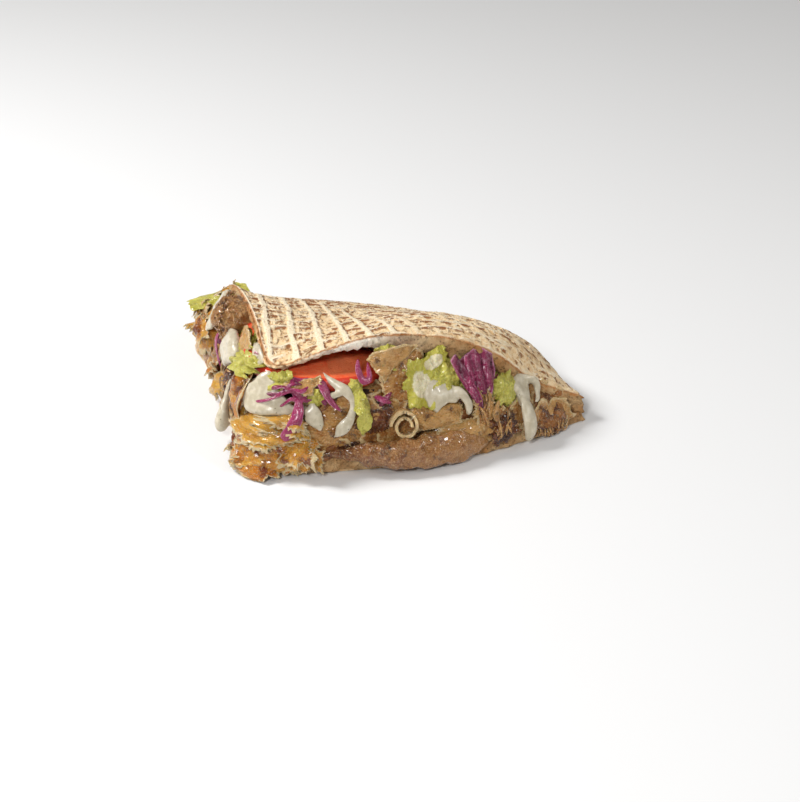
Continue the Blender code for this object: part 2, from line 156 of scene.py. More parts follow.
def base_thickness(cut):
    """The lower flap is thinner towards the right tip."""
    return BASE_THICKNESS - 4.0 * smooth((-0.8 - cut) / 0.2)


def top_height(cut, depth):
    """The upper surface: a line from the edge to the hinge, a bulge, and a dip at the corner."""
    line = through(TOP_EDGE_HEIGHT, cut) * (1 - depth) + through(HINGE_HEIGHT, cut) * depth
    spot = between(top_plan(cut), crust_plan(cut), depth)
    droop = TIP_DROOP * np.exp(-np.sum((spot / DROOP_REACH) ** 2, axis=-1))
    return line + through(FLAP_BULGE, cut) * 4 * depth * (1 - depth) - droop


def under_height(cut, depth):
    """The upper flap's underside: thin at the cut, full thickness further in."""
    edge = through(TOP_EDGE_THICKNESS, cut)
    thickness = edge + (FLAP_THICKNESS - edge) * smooth(depth / 0.5)
    return np.maximum(top_height(cut, depth) - thickness, base_thickness(cut) + 1.2)


def face(cut, rise):
    """The filling's open face: a line from the lower edge to the upper one, bulging by a sine."""
    base = base_thickness(cut)
    share = np.clip((rise - base) / (under_height(cut, np.zeros_like(cut)) - base), 0, 1.2)
    plan = between(base_plan(cut), top_plan(cut), share)
    plan = plan + outward(cut) * (FACE_BULGE * np.sin(np.pi * np.clip(share, 0, 1)))[..., None]
    return np.concatenate([plan, rise[..., None]], -1)


def placed(cut, rise, out):
    """The point a distance out in front of the face, outwards and a little upwards."""
    cut, rise, out = np.broadcast_arrays(*(np.asarray(v, float) for v in (cut, rise, out)))
    tilt = np.radians(FACE_TILT) * smooth((rise - 4) / 12)
    sideways = outward(cut) * np.cos(tilt)[..., None]
    direction = np.concatenate([sideways, np.sin(tilt)[..., None]], -1)
    return face(cut, rise) + direction * out[..., None]


cuts = np.linspace(-1, 1, 201)
outline = np.concatenate([top_plan(cuts), base_plan(cuts), crust_plan(cuts)])
box_low = np.array(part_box("bread")[0])
SHIFT = np.array([*(box_low[:2] - outline.min(axis=0) * MM), 0.0])
print("corner of the bread in the frame:", SHIFT.round(4))

# %% [markdown]
# ## Camera, light and floor
# Food is lit softly from behind and to the left: the crust shines and the front keeps gentle shade.
# A long lens from a little above keeps the shape natural.

# %% Camera, light and floor
EYE = np.array([-225.8, -998.8, 580.5]) * MM + SHIFT
AIM = np.array([86.1, 47.4, 0.0]) * MM + SHIFT
LENS = 100.0
NEAREST = 0.05
SKY = (1.0, 0.97, 0.93, 1.0)
SKY_STRENGTH = 0.22
FLOOR_HALF = 4.0
FLOOR_DROP = 0.0006  # a hair under the bread, so that the two never share a plane
LIGHTS = (  # name, direction from the sandwich, metres away, metres across, watts
    ("key", (-0.70, 0.25, 0.80), 1.3, 0.4, 16.0),
    ("fill", (-0.45, -0.75, 0.60), 1.5, 0.25, 8.0),
    ("right", (0.95, -0.35, 0.75), 1.5, 1.0, 3.0),
    ("sparkle", (0.45, -0.75, 0.75), 1.5, 0.12, 2.6),
)


def aimed(made, place, target):
    """Put an object at a place and turn its -Z towards the target."""
    made.location = place
    made.rotation_euler = Vector(target - np.array(place)).to_track_quat("-Z", "Y").to_euler()
    bpy.context.scene.collection.objects.link(made)


camera = bpy.data.objects.new("camera", bpy.data.cameras.new("camera"))
camera.data.lens = LENS
camera.data.clip_start = NEAREST
aimed(camera, EYE, AIM)
bpy.context.scene.camera = camera

for name, direction, distance, size, power in LIGHTS:
    light = bpy.data.lights.new(name, "AREA")
    light.shape = "DISK"
    light.size = size
    light.energy = power
    direction = np.array(direction) / np.linalg.norm(direction)
    aimed(bpy.data.objects.new(name, light), AIM + direction * distance, AIM)

bpy.context.scene.view_settings.view_transform = "Standard"
world = bpy.data.worlds.new("studio")
bpy.context.scene.world = world
world.use_nodes = True
sky = world.node_tree.nodes["Background"].inputs
sky["Color"].default_value = SKY
sky["Strength"].default_value = SKY_STRENGTH

floor_mesh = bpy.data.meshes.new("floor")
corners = [(FLOOR_HALF * x, FLOOR_HALF * y, 0) for x, y in ((-1, -1), (1, -1), (1, 1), (-1, 1))]
floor_mesh.from_pydata(corners, [], [(0, 1, 2, 3)])
floor = bpy.data.objects.new("floor", floor_mesh)
floor.location.z = -FLOOR_DROP
bpy.context.scene.collection.objects.link(floor)

# %% [markdown]
# ## Helpers for meshes
# Food is never quite smooth. Its lumps come from noise: random values on a lattice with a soft blend
# between them, laid over finer and finer copies of itself.

# %% Noise
LATTICE_SIDE = 32
LATTICE = np.random.default_rng(7).uniform(-1, 1, (LATTICE_SIDE,) * 3)


def noise(points):
    """Smooth noise from -1 to 1: random values on a lattice, blended with the S curve."""
    cell = np.floor(points).astype(int)
    blend = smooth(points - cell)
    total = 0.0
    for corner in np.ndindex(2, 2, 2):
        weight = np.where(np.array(corner) == 1, blend, 1 - blend).prod(axis=-1)
        x, y, z = np.moveaxis((cell + np.array(corner)) % LATTICE_SIDE, -1, 0)
        total = total + weight * LATTICE[x, y, z]
    return total


def rough(points, size, layers=3):
    """Noise at a size and at finer ones, each half as strong as the last."""
    return sum(noise(points * (2.0**k / size) + 5.3 * k) / 2**k for k in range(layers))


print("noise lattice:", LATTICE.shape)

# %% [markdown]
# A food is either a row of closed loops carried along a strip, or a grid of points given a thickness.
# Both become closed skins of four-sided faces, turned so that they face outwards.

# %% Closed skins


def facing_out(points, quads):
    """The quads turned round if the volume that they enclose comes out negative."""
    a, b, c, d = (points[quads[:, k]] for k in range(4))
    volume = np.sum(np.cross(b - a, c - a) * a) + np.sum(np.cross(c - a, d - a) * a)
    return quads if volume > 0 else quads[:, ::-1]


def rows_solid(loops, **marks):
    """Rows of closed loops made one closed solid: quads between rows, and quads zipped over both ends."""
    rows, around = loops.shape[:2]
    index = np.arange(rows * around).reshape(rows, around)
    after = np.roll(index, -1, axis=1)
    quads = np.stack([index[:-1], after[:-1], after[1:], index[1:]], -1).reshape(-1, 4)
    k = np.arange(around // 2 - 1)
    zipped = np.stack([k, k + 1, around - 2 - k, around - 1 - k], -1)
    quads = np.concatenate([quads, zipped[:, ::-1], zipped + index[-1, 0]])
    points = loops.reshape(-1, 3)
    flat = {key: np.broadcast_to(v, loops.shape[:2]).ravel() for key, v in marks.items()}
    return points, facing_out(points, quads), flat


def settled(points):
    """Points kept above the table: heights under 1 mm become e^(height - 1), which never reaches 0."""
    height = points[..., 2]
    points[..., 2] = np.where(height < 1, np.exp(np.minimum(height, 1) - 1), height)
    return points


def sheet_solid(middle, thickness, **marks):
    """A grid of points given a thickness along its normals: front, back and the rim between them."""
    rows, columns = middle.shape[:2]
    normal = np.cross(np.gradient(middle, axis=0), np.gradient(middle, axis=1))
    normal /= np.linalg.norm(normal, axis=-1, keepdims=True) + 1e-9
    half = 0.5 * np.broadcast_to(thickness, (rows, columns))[..., None] * normal
    points = settled(np.concatenate([(middle + half).reshape(-1, 3), (middle - half).reshape(-1, 3)]))
    index = np.arange(rows * columns).reshape(rows, columns)
    front = np.stack([index[:-1, :-1], index[1:, :-1], index[1:, 1:], index[:-1, 1:]], -1).reshape(-1, 4)
    rim = np.concatenate([index[:, 0], index[-1, 1:], index[-2::-1, -1], index[0, -2:0:-1]])
    after, count = np.roll(rim, -1), rows * columns
    side = np.stack([after, rim, rim + count, after + count], -1)
    quads = np.concatenate([front, front[:, ::-1] + count, side])
    flat = {key: np.tile(np.broadcast_to(v, (rows, columns)).ravel(), 2) for key, v in marks.items()}
    return points, facing_out(points, quads), flat


def together(solids):
    """Several solids as one."""
    starts = np.cumsum([0] + [len(points) for points, _, _ in solids])
    points = np.concatenate([points for points, _, _ in solids])
    quads = np.concatenate([quads + start for (_, quads, _), start in zip(solids, starts)])
    marks = {key: np.concatenate([m[key] for _, _, m in solids]) for key in solids[0][2]}
    return points, quads, marks

# %% [markdown]
# A skin becomes a piece of the scene. What its points are, such as rim or crust, is stored with them
# for the materials. It rides on the frame's body, and it stands in for one of the frame's solids.

# %% A piece in the scene
SHARP_ANGLE = math.radians(70.0)  # edges bent more than this are shaded as sharp


def put(name, solid, material, node):
    """A solid in millimetres as a smooth-shaded piece that stands in for a node of the frame."""
    points, quads, marks = solid
    mesh = bpy.data.meshes.new(name)
    mesh.vertices.add(len(points))
    mesh.vertices.foreach_set("co", (points * MM + SHIFT).astype(np.float32).ravel())
    mesh.loops.add(quads.size)
    mesh.loops.foreach_set("vertex_index", quads.astype(np.int32).ravel())
    mesh.polygons.add(len(quads))
    mesh.polygons.foreach_set("loop_start", np.arange(0, quads.size, 4, dtype=np.int32))
    mesh.update(calc_edges=True)
    for key, values in marks.items():
        if key != "flow_x" and key != "flow_y":
            mesh.attributes.new(key, "FLOAT", "POINT").data.foreach_set("value", values.astype(np.float32))
    if "flow_x" in marks:
        flow = np.stack([marks["flow_x"], marks["flow_y"]], -1)[quads.ravel()]
        mesh.uv_layers.new(name="flow").data.foreach_set("uv", flow.astype(np.float32).ravel())
    mesh.shade_smooth()
    mesh.set_sharp_from_angle(angle=SHARP_ANGLE)
    mesh.materials.append(material)
    made = bpy.data.objects.new(name, mesh)
    bpy.context.scene.collection.objects.link(made)
    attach(made, "root")
    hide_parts(node)
    return made

# %% [markdown]
# ## Helpers for materials
# A colour is read as it looks on a screen, and a small helper adds a shader node and plugs its
# inputs, so that each material below reads like a recipe.

# %% Shader helpers


def look(red, green, blue):
    """A screen colour, 0 to 255, as the shader's linear colour."""
    c = np.array([red, green, blue]) / 255
    linear = np.where(c <= 0.04045, c / 12.92, ((c + 0.055) / 1.055) ** 2.4)
    return (*linear.tolist(), 1.0)


def plug(tree, value, socket):
    """Set a socket to a value, or link it to another socket."""
    if isinstance(value, bpy.types.NodeSocket):
        tree.links.new(value, socket)
    else:
        socket.default_value = value


def add(tree, kind, inputs=(), **settings):
    """A new shader node: settings are its own options, inputs are (socket name or number, value)."""
    made = tree.nodes.new(kind if kind.startswith("NodeGroup") else "ShaderNode" + kind)
    for key, value in settings.items():
        setattr(made, key, value)
    for key, value in inputs:
        plug(tree, value, made.inputs[key])
    return made


def maths(tree, operation, *values):
    """A Math node's result."""
    return add(tree, "Math", list(enumerate(values)), operation=operation).outputs[0]


def blend(tree, share, first, second):
    """Two colours mixed by a share."""
    made = add(tree, "Mix", data_type="RGBA")
    plug(tree, share, made.inputs[0])
    plug(tree, first, made.inputs[6])
    plug(tree, second, made.inputs[7])
    return made.outputs[2]


def ramp(tree, value, low, high):
    """0 at low, 1 at high, smooth between."""
    made = add(tree, "MapRange", [(0, value), (1, low), (2, high)], interpolation_type="SMOOTHSTEP")
    return made.outputs[0]


def mark(tree, name):
    """A value stored on the piece's points."""
    return add(tree, "Attribute", attribute_name=name).outputs["Fac"]


def pattern(tree, size, detail=3.0, roughness=0.6):
    """Noise whose lumps are about size millimetres wide."""
    place = add(tree, "TexCoord").outputs["Object"]
    settings = [("Vector", place), ("Scale", 1000.0 / size), ("Detail", detail), ("Roughness", roughness)]
    return add(tree, "TexNoise", settings).outputs[0]


def rest(tree, share):
    """What a share leaves of 1."""
    return maths(tree, "SUBTRACT", 1.0, share)


def spots(tree, scale, chosen, near):
    """Scattered spots: Voronoi cells picked by their random colour, fading out from their middles."""
    place = add(tree, "TexCoord").outputs["Object"]
    cells = add(tree, "TexVoronoi", [("Vector", place), ("Scale", scale), ("Randomness", 1.0)])
    picked = ramp(tree, add(tree, "SeparateColor", [(0, cells.outputs["Color"])]).outputs[0], *chosen)
    return maths(tree, "MULTIPLY", rest(tree, ramp(tree, cells.outputs["Distance"], *near)), picked)


def new_material(name):
    """A material, its node tree and its Principled shader."""
    made = bpy.data.materials.new(name)
    made.use_nodes = True
    return made, made.node_tree, made.node_tree.nodes["Principled BSDF"]


def finish(tree, shader, colour, height, strength, depth, **inputs):
    """The shader's colour, its small relief (a bump this strong and deep, in metres) and its finish."""
    plug(tree, colour, shader.inputs["Base Color"])
    dents = add(tree, "Bump", [("Strength", strength), ("Distance", depth), ("Height", height)])
    plug(tree, dents.outputs[0], shader.inputs["Normal"])
    for key, value in inputs.items():
        shader.inputs[key.replace("_", " ").title()].default_value = value

# %% [markdown]
# ## The bread's shape
# A hot waffle plate pressed a grid of pale raised bands into the top, and the cells between them
# browned and wrinkled.

# %% Waffle pattern
WIDE_PITCH, WIDE_BAND = 13.2, 3.4  # the broad bands that run back from the front cut
THIN_PITCH, THIN_BAND = 8.4, 2.3  # the thin ridges between them


def bands(across, pitch, width):
    """1 on a raised band and 0 in a cell: the distance to the nearest band's middle, cut off softly."""
    off = np.abs((across / pitch + 0.5) % 1.0 - 0.5) * pitch
    return 1 - smooth((off - 0.5 * width + 0.6) / 1.2)


def waffle(plan):
    """The pressed grid: two families of raised bands that waver and fade to the right, winding
    wrinkles in the cells, and a flat strip along the left cut."""
    here = np.concatenate([plan, np.zeros_like(plan[..., :1])], -1)
    x, y = plan[..., 0], plan[..., 1]
    waver = 1.2 * noise(here / 17.0) + 0.8 * noise(here / 6.0 + 4)
    thin = bands(y + waver - 0.8, THIN_PITCH, THIN_BAND * (1 + 0.5 * noise(here / 9.0 + 2)))
    turned = x + y * (0.4 * smooth((x - 30) / 90) - 0.17)
    fan = turned + 0.8 * noise(here / 22.0 + 9) + 0.5 * noise(here / 5.0 + 2)
    wide = bands(fan - 3.5, WIDE_PITCH, WIDE_BAND * (1 + 0.3 * noise(here / 8.0 + 6)))
    wide = wide * (1 - 0.65 * smooth((x + 0.3 * y - 55) / 45))
    thin = thin * (1 - 0.4 * smooth((x - 80) / 60)) * smooth(1.0 + 1.3 * noise(here / 7.0 + 1))
    stretched = here * np.array([0.55, 1.0, 1.0])
    winding = 1 - smooth(np.abs(noise(here / 3.4 + 3) + 0.3 * noise(here / 1.7)) / 0.22)
    dashes = 1 - smooth(np.abs(noise(stretched / 3.0 + 7) + 0.25 * noise(stretched / 1.5)) / 0.25)
    wrinkles = 0.75 * between(winding[..., None], dashes[..., None], smooth((x - 60) / 40))[..., 0]
    rimmed = 1 - smooth((x - 0.09 * y - 1.5) / 1.5)
    return np.maximum.reduce([wide, thin, rimmed, wrinkles])


print("bands every", WIDE_PITCH, "mm one way and", THIN_PITCH, "mm the other")

# %% [markdown]
# The flatbread is one closed skin. A loop runs from the lower cut edge along the underside, round the
# crust, over the top to the upper cut edge, down the torn crumb, and back through the pocket. The
# loops are carried along the cuts.

# %% Loops of the bread
END_ROUND = 2.0


def bread_loops(cut):
    """Loops of points, what each point is (crust or crumb), and how many points each part of a loop has."""
    top, base, crust = top_plan(cut)[:, None], base_plan(cut)[:, None], crust_plan(cut)[:, None]
    at = cut[:, None]
    floor = base_thickness(at)
    hinge = through(HINGE_HEIGHT, at)
    reach = np.linalg.norm(crust - top, axis=-1)
    inset = 1 - np.minimum(0.35, 6.0 / reach)
    side = outward(cut)[:, None]
    zero = np.zeros_like(at)

    def patch(plan, height, kind):
        """Points over a plan at a height, with what they are made of."""
        height = np.broadcast_to(height, plan.shape[:2])
        return np.concatenate([plan, height[..., None]], -1), np.full(plan.shape[:2], kind)

    parts = []
    share = np.linspace(0, 1, 16)[None] * inset
    parts.append(patch(between(base, crust, share), 0.0 * share, 1.0))
    angle = np.radians(np.linspace(-82, 82, 12))[None]
    depth = inset + (1 - inset) * np.cos(angle)
    parts.append(patch(between(top, crust, depth), hinge * (0.5 + 0.5 * np.sin(angle)), 1.0))
    share = (1 - np.linspace(0, 1, 170) ** 0.93)[None] * inset
    parts.append(patch(between(top, crust, share), top_height(at, share), 1.0))
    down = np.linspace(0, 1, 14)[None, 1:-1]
    high, low = top_height(at, zero), under_height(at, zero)
    swell = 1.2 * np.sin(np.pi * down)[..., None] * side
    parts.append(patch(top + swell, high + (low - high) * down, 0.0))
    share = np.linspace(0, 0.9, 22)[None] + 0 * at
    parts.append(patch(between(top, crust, share), under_height(at, share), 0.0))
    parts.append(patch(between(base, crust, share[:, ::-1]), floor + 0 * share, 0.0))
    down = np.linspace(0, 1, 10)[None, 1:-1]
    swell = 1.0 * np.sin(np.pi * down)[..., None] * side
    parts.append(patch(base + swell, floor * (1 - down), 0.0))
    loops = np.concatenate([p for p, _ in parts], axis=1)
    kind = np.concatenate([k for _, k in parts], axis=1)
    return loops, kind, [p.shape[1] for p, _ in parts]


def rounded_ends(loops, *others):
    """Two more loops at each end, pulled in towards the loop's middle line by a quarter circle."""
    ends = []
    for row, step in ((0, 1), (-1, -1)):
        loop = loops[row]
        run = loop - loops[row + step]
        run = run.mean(axis=0) / np.linalg.norm(run.mean(axis=0))
        tangent = np.roll(loop, -1, axis=0) - np.roll(loop, 1, axis=0)
        inward = np.cross(tangent, run)
        inward /= np.linalg.norm(inward, axis=1, keepdims=True) + 1e-9
        middle = loop.mean(axis=0)
        turns = np.radians([30, 60, 85])
        ends.append([
            loop + run * END_ROUND * np.sin(t) - step * inward * END_ROUND * (1 - np.cos(t))
            for t in turns
        ])
    made = np.concatenate([np.array(ends[0])[::-1], loops, np.array(ends[1])])
    return made, [np.concatenate([o[:1]] * 3 + [o] + [o[-1:]] * 3) for o in others]


BREAD_ROWS = 330
rows = np.linspace(-1, 1, BREAD_ROWS)
rows = rows * (0.8 + 0.2 * rows * rows)
skin, is_crust, lengths = bread_loops(rows)
starts = np.cumsum([0] + lengths)
on_top = np.zeros(skin.shape[1], bool)
on_top[starts[1] + 6 : starts[3]] = True
torn = np.zeros(skin.shape[1], bool)
torn[starts[3] : starts[4]] = True
print("bread loops:", skin.shape)

# %% [markdown]
# Then the skin is pressed and torn. Bands rise and cells wrinkle on top, the upper cut edge is rounded,
# and ragged shreds of crumb hang along the underside of the tear.

# %% Pressed and torn skin
BAND_HEIGHT = 1.0
EDGE_ROUND = 1.6

# distance from the upper cut edge, for the rounded lip and the browned line along it
edge = skin[:, starts[3] - 1]
from_edge = np.linalg.norm(skin - edge[:, None], axis=-1)
near_lip = np.exp(-from_edge / 1.3)
grid = waffle(skin[..., :2]) * on_top
# painted shade: this mark is the side of each raised band that faces away from the key light, darkened in
# the material
step = np.array([-0.45, 0.75])
wall = np.clip(waffle(skin[..., :2] + step) - waffle(skin[..., :2] - step), 0, 1) * on_top
wrinkle = rough(skin * np.array([1, 1, 0.3]), 5.0, 3)
pebble = rough(skin, 1.9, 2)
lift = on_top * (BAND_HEIGHT * grid + 0.35 * wrinkle * (1 - 0.6 * grid) + 0.25 * pebble - 0.6)
lift = lift - near_lip * on_top * EDGE_ROUND
near_lip = np.exp(-from_edge / 2.2) * (on_top | torn)
skin[..., 2] += lift
ragged = rough(skin, 4.5, 3) * 0.9 + rough(skin, 1.4, 2) * 0.8
facing = outward(rows)[:, None]
skin[:, torn, :2] += facing * (ragged[:, torn, None] * 0.8)
lower_lip = np.zeros(skin.shape[1])
lower_lip[starts[4] - 4 : starts[4] + 3] = (0.2, 0.5, 0.8, 1.0, 1.0, 0.8, 0.4)
# torn shreds hang from the crumb, longest on the right, with two long ones at -0.625 and -0.585
shreds = 3.2 * np.clip(rough(skin * np.array([1, 1, 0]), 4.0, 3), 0, 2) + 0.8 * rough(skin, 1.6, 2)
shreds = shreds * (0.35 + smooth((-rows[:, None] - 0.2) / 0.15))
jag = 4.5 * np.exp(-(((rows + 0.625) / 0.022) ** 2)) + 2.5 * np.exp(-(((rows + 0.585) / 0.015) ** 2))
skin[..., 2] -= lower_lip * (shreds + jag[:, None])
base_face = np.zeros(skin.shape[1], bool)
base_face[starts[6] - 2 :] = True
skin[:, base_face, :2] += facing * (rough(skin[:, base_face], 6.0, 3)[..., None] * 1.5 + 0.4)
folded_over = np.exp(-(((rows - 0.06) / 0.1) ** 2))[:, None] * torn
is_crust = np.maximum(is_crust, smooth(2 * folded_over))

# whiter crumb round cut -0.25, partly painted light on crumb that lies in the flap's shade
pale = np.exp(-(((rows + 0.25) / 0.15) ** 2))[:, None] * torn
skin, (is_crust, grid, near_lip, wall, pale) = rounded_ends(skin, is_crust, grid, near_lip, wall, pale)
is_crust[:3] = is_crust[-3:] = 0.0
print("highest point of the bread:", skin[..., 2].max().round(1), "mm")

# %% [markdown]
# ## The bread's crust and crumb
# Baked dough is never one colour. The bands are floury and pale, the cells are tan with browned patches,
# the band walls that face away from the key light carry painted shade, and the torn side shows an
# off-white, open crumb that is painted tan in part as shade, with painted shade in its pores.

# %% Bread material
crust_look, tree, shader = new_material("grilled_bread")
raised, crust_mask, lip, wall_mark = (mark(tree, m) for m in ("band", "crust", "lip", "wall"))
cloudy = pattern(tree, 16.0, 3.0)
grainy = pattern(tree, 2.2, 4.0, roughness=0.7)
fine = pattern(tree, 0.9, 3.0, roughness=0.7)
scorch = pattern(tree, 6.0, 4.0, roughness=0.7)
tan = blend(tree, ramp(tree, cloudy, 0.35, 0.65), look(236, 202, 154), look(222, 180, 124))
tan = blend(tree, ramp(tree, grainy, 0.38, 0.6), tan, look(244, 218, 176))
floury = blend(tree, ramp(tree, fine, 0.35, 0.65), look(234, 212, 174), look(248, 234, 208))
ridge = maths(tree, "MULTIPLY_ADD", grainy, 1.2, -0.62)
colour = blend(tree, ramp(tree, maths(tree, "ADD", raised, ridge), 0.25, 0.8), tan, floury)
# painted shade on the band walls that face away from the key light, broken up by noise
walls = maths(tree, "MULTIPLY", ramp(tree, wall_mark, 0.2, 0.6), ramp(tree, scorch, 0.42, 0.54))
low = rest(tree, ramp(tree, raised, 0.05, 0.4))
patchy = maths(tree, "MULTIPLY", ramp(tree, scorch, 0.5, 0.62), ramp(tree, grainy, 0.62, 0.42))
toast = maths(tree, "MULTIPLY", low, patchy)
# real browning of the low cells and the painted shade of the band walls share one dark colour
browning_and_wall_shade = maths(tree, "MAXIMUM", walls, toast)
colour = blend(tree, maths(tree, "MULTIPLY", browning_and_wall_shade, 0.95), colour, look(146, 86, 36))
pits = spots(tree, 230.0, (0.72, 0.76), (0.1, 0.34))
colour = blend(tree, maths(tree, "MULTIPLY", pits, 0.8), colour, look(150, 92, 44))
# the crumb's tan and brown are partly painted shade of the flap above it
crumb = blend(tree, ramp(tree, cloudy, 0.3, 0.7), look(210, 178, 130), look(170, 120, 66))
place = add(tree, "TexCoord").outputs["Object"]
pores = add(
    tree, "TexVoronoi", [("Vector", place), ("Scale", 480.0), ("Randomness", 1.0)],
).outputs["Distance"]
# painted shade in the pores: the crumb darkens where its pores dent it
holes = rest(tree, ramp(tree, maths(tree, "MULTIPLY_ADD", grainy, 0.5, pores), 0.3, 0.55))
crumb = blend(tree, maths(tree, "MULTIPLY", holes, 0.7), crumb, look(160, 116, 68))
# the pale mark whitens the crumb there, partly as painted light
crumb = blend(tree, maths(tree, "MULTIPLY", mark(tree, "pale"), 0.85), crumb, look(252, 246, 232))
colour = blend(tree, crust_mask, crumb, colour)
browned = maths(tree, "MULTIPLY", ramp(tree, lip, 0.45, 0.75), ramp(tree, grainy, 0.3, 0.5))
colour = blend(tree, maths(tree, "MULTIPLY", browned, 0.9), colour, look(184, 120, 58))
height = maths(tree, "MULTIPLY_ADD", grainy, 0.8, maths(tree, "MULTIPLY", fine, 0.5))
height = maths(tree, "SUBTRACT", height, maths(tree, "MULTIPLY", pits, 0.6))
height = maths(tree, "SUBTRACT", height, maths(tree, "MULTIPLY", browning_and_wall_shade, 0.5))
height = maths(tree, "SUBTRACT", height, maths(tree, "MULTIPLY", holes, rest(tree, crust_mask)))
finish(
    tree, shader, colour, height, 1.0, 0.0012,
    roughness=0.72, subsurface_weight=0.05, subsurface_radius=(0.003, 0.0018, 0.001),
)

solid = rows_solid(skin, band=grid, crust=is_crust, lip=near_lip, wall=wall, pale=pale)
bread = put("flatbread", solid, crust_look, "bread")
print("bread faces:", len(bread.data.polygons))

# %% [markdown]
# ## Finishes of the foods
# All the wet foods share one recipe, kept in a node group: a streaky surface that follows the piece,
# blotches of a second and a third colour, painted shade in the dips, painted glints, and a paler, frayed
# rim. Each food gives its own colours.

# %% The shared surface group


def food_group():
    """Streaks, blotches, painted shade in the dips, painted glints and a pale rim, as a colour and a
    height.
    """
    group = bpy.data.node_groups.new("food_surface", "ShaderNodeTree")
    for name, kind in (
        ("Main", "Color"), ("Second", "Color"), ("Third", "Color"), ("Rim", "Color"),
        ("Blotch Size", "Float"), ("Streak Size", "Float"), ("Stretch", "Float"),
        ("Third Share", "Float"), ("Rim Width", "Float"), ("Tone", "Float"), ("Hollow", "Float"),
    ):
        group.interface.new_socket(name, in_out="INPUT", socket_type="NodeSocket" + kind)
    group.interface.new_socket("Color", in_out="OUTPUT", socket_type="NodeSocketColor")
    group.interface.new_socket("Height", in_out="OUTPUT", socket_type="NodeSocketFloat")
    given = group.nodes.new("NodeGroupInput").outputs
    place = add(group, "TexCoord").outputs["Object"]
    flow = add(group, "UVMap", uv_map="flow").outputs[0]
    scale = add(group, "CombineXYZ", [(0, 1.0), (1, given["Stretch"]), (2, 1.0)]).outputs[0]
    along = add(group, "VectorMath", [(0, flow), (1, scale)], operation="MULTIPLY").outputs[0]

    def lumps(where, scale, detail, roughness=0.6):
        """Noise spread so that it fills 0 to 1."""
        inputs = [("Vector", where), ("Scale", scale), ("Detail", detail), ("Roughness", roughness)]
        made = add(group, "TexNoise", inputs)
        return maths(group, "MULTIPLY_ADD", made.outputs[0], 2.2, -0.6)

    streaks = lumps(along, maths(group, "DIVIDE", 1.0, given["Streak Size"]), 5.0, 0.65)
    size = maths(group, "DIVIDE", 1000.0, given["Blotch Size"])
    blotches = lumps(place, size, 4.0)
    others = lumps(place, maths(group, "MULTIPLY", size, 0.57), 5.0, 0.65)
    grain = lumps(place, 1000.0, 3.0, 0.7)
    # the main colour turns into the second with the blotches, streaks and grain
    mixed = maths(group, "MULTIPLY_ADD", streaks, 0.3, maths(group, "MULTIPLY", blotches, 0.45))
    mixed = maths(group, "MULTIPLY_ADD", grain, 0.25, mixed)
    mixed = maths(group, "MULTIPLY_ADD", given["Tone"], 0.22, mixed)
    colour = blend(group, ramp(group, mixed, 0.28, 0.75), given["Main"], given["Second"])
    # the third colour takes other blotches, and painted shade in the dips of crumples, creases and pleats
    dark = maths(group, "MULTIPLY_ADD", streaks, 0.2, maths(group, "MULTIPLY", others, 0.65))
    dark = maths(group, "MULTIPLY_ADD", grain, 0.2, dark)
    dark = maths(group, "MULTIPLY_ADD", given["Tone"], -0.12, dark)
    low = rest(group, maths(group, "MULTIPLY", given["Third Share"], 0.9))
    dark = maths(group, "ADD", ramp(group, dark, low, maths(group, "ADD", low, 0.25)), given["Hollow"])
    colour = blend(group, maths(group, "MINIMUM", dark, 0.95), colour, given["Third"])
    # painted highlight: pale glint specks in the grain, and the pale rim
    painted_glints = maths(group, "MULTIPLY_ADD", grain, 0.6, maths(group, "MULTIPLY", streaks, 0.4))
    painted_glints = maths(group, "MULTIPLY", ramp(group, painted_glints, 0.54, 0.78), 0.6)
    colour = blend(group, painted_glints, colour, given["Rim"])
    rim = maths(group, "MULTIPLY_ADD", streaks, 0.12, maths(group, "SUBTRACT", mark(group, "rim"), 0.06))
    start = rest(group, given["Rim Width"])
    colour = blend(group, ramp(group, rim, start, maths(group, "ADD", start, 0.08)), colour, given["Rim"])
    height = maths(group, "MULTIPLY_ADD", streaks, 0.5, maths(group, "MULTIPLY", grain, 0.6))
    out = group.nodes.new("NodeGroupOutput")
    plug(group, colour, out.inputs["Color"])
    plug(group, height, out.inputs["Height"])
    return group


food_surface = food_group()
print("sockets of the shared surface:", len(food_surface.interface.items_tree))

# %% [markdown]
# Each food is then a row of numbers: four colours, how its pattern is scaled, how glossy and soft it
# is, and how deep its relief goes.

# %% Finish of each food


def food(name, colours, pattern_sizes, gloss, relief):
    """A food's material: the shared surface with this food's colours, gloss and softness."""
    made, tree, shader = new_material(name)
    surface = tree.nodes.new("ShaderNodeGroup")
    surface.node_tree = food_surface
    for key, colour in zip(("Main", "Second", "Third", "Rim"), colours):
        surface.inputs[key].default_value = look(*colour)
    for key, value in zip(
        ("Blotch Size", "Streak Size", "Stretch", "Third Share", "Rim Width"), pattern_sizes,
    ):
        surface.inputs[key].default_value = value
    plug(tree, mark(tree, "tone"), surface.inputs["Tone"])
    plug(tree, mark(tree, "hollow"), surface.inputs["Hollow"])
    roughness, coat, soft = gloss
    finish(
        tree, shader, surface.outputs["Color"], surface.outputs["Height"], *relief,
        roughness=roughness, coat_weight=coat, coat_roughness=0.12,
        subsurface_weight=soft, subsurface_radius=(0.004, 0.002, 0.001),
    )
    return made


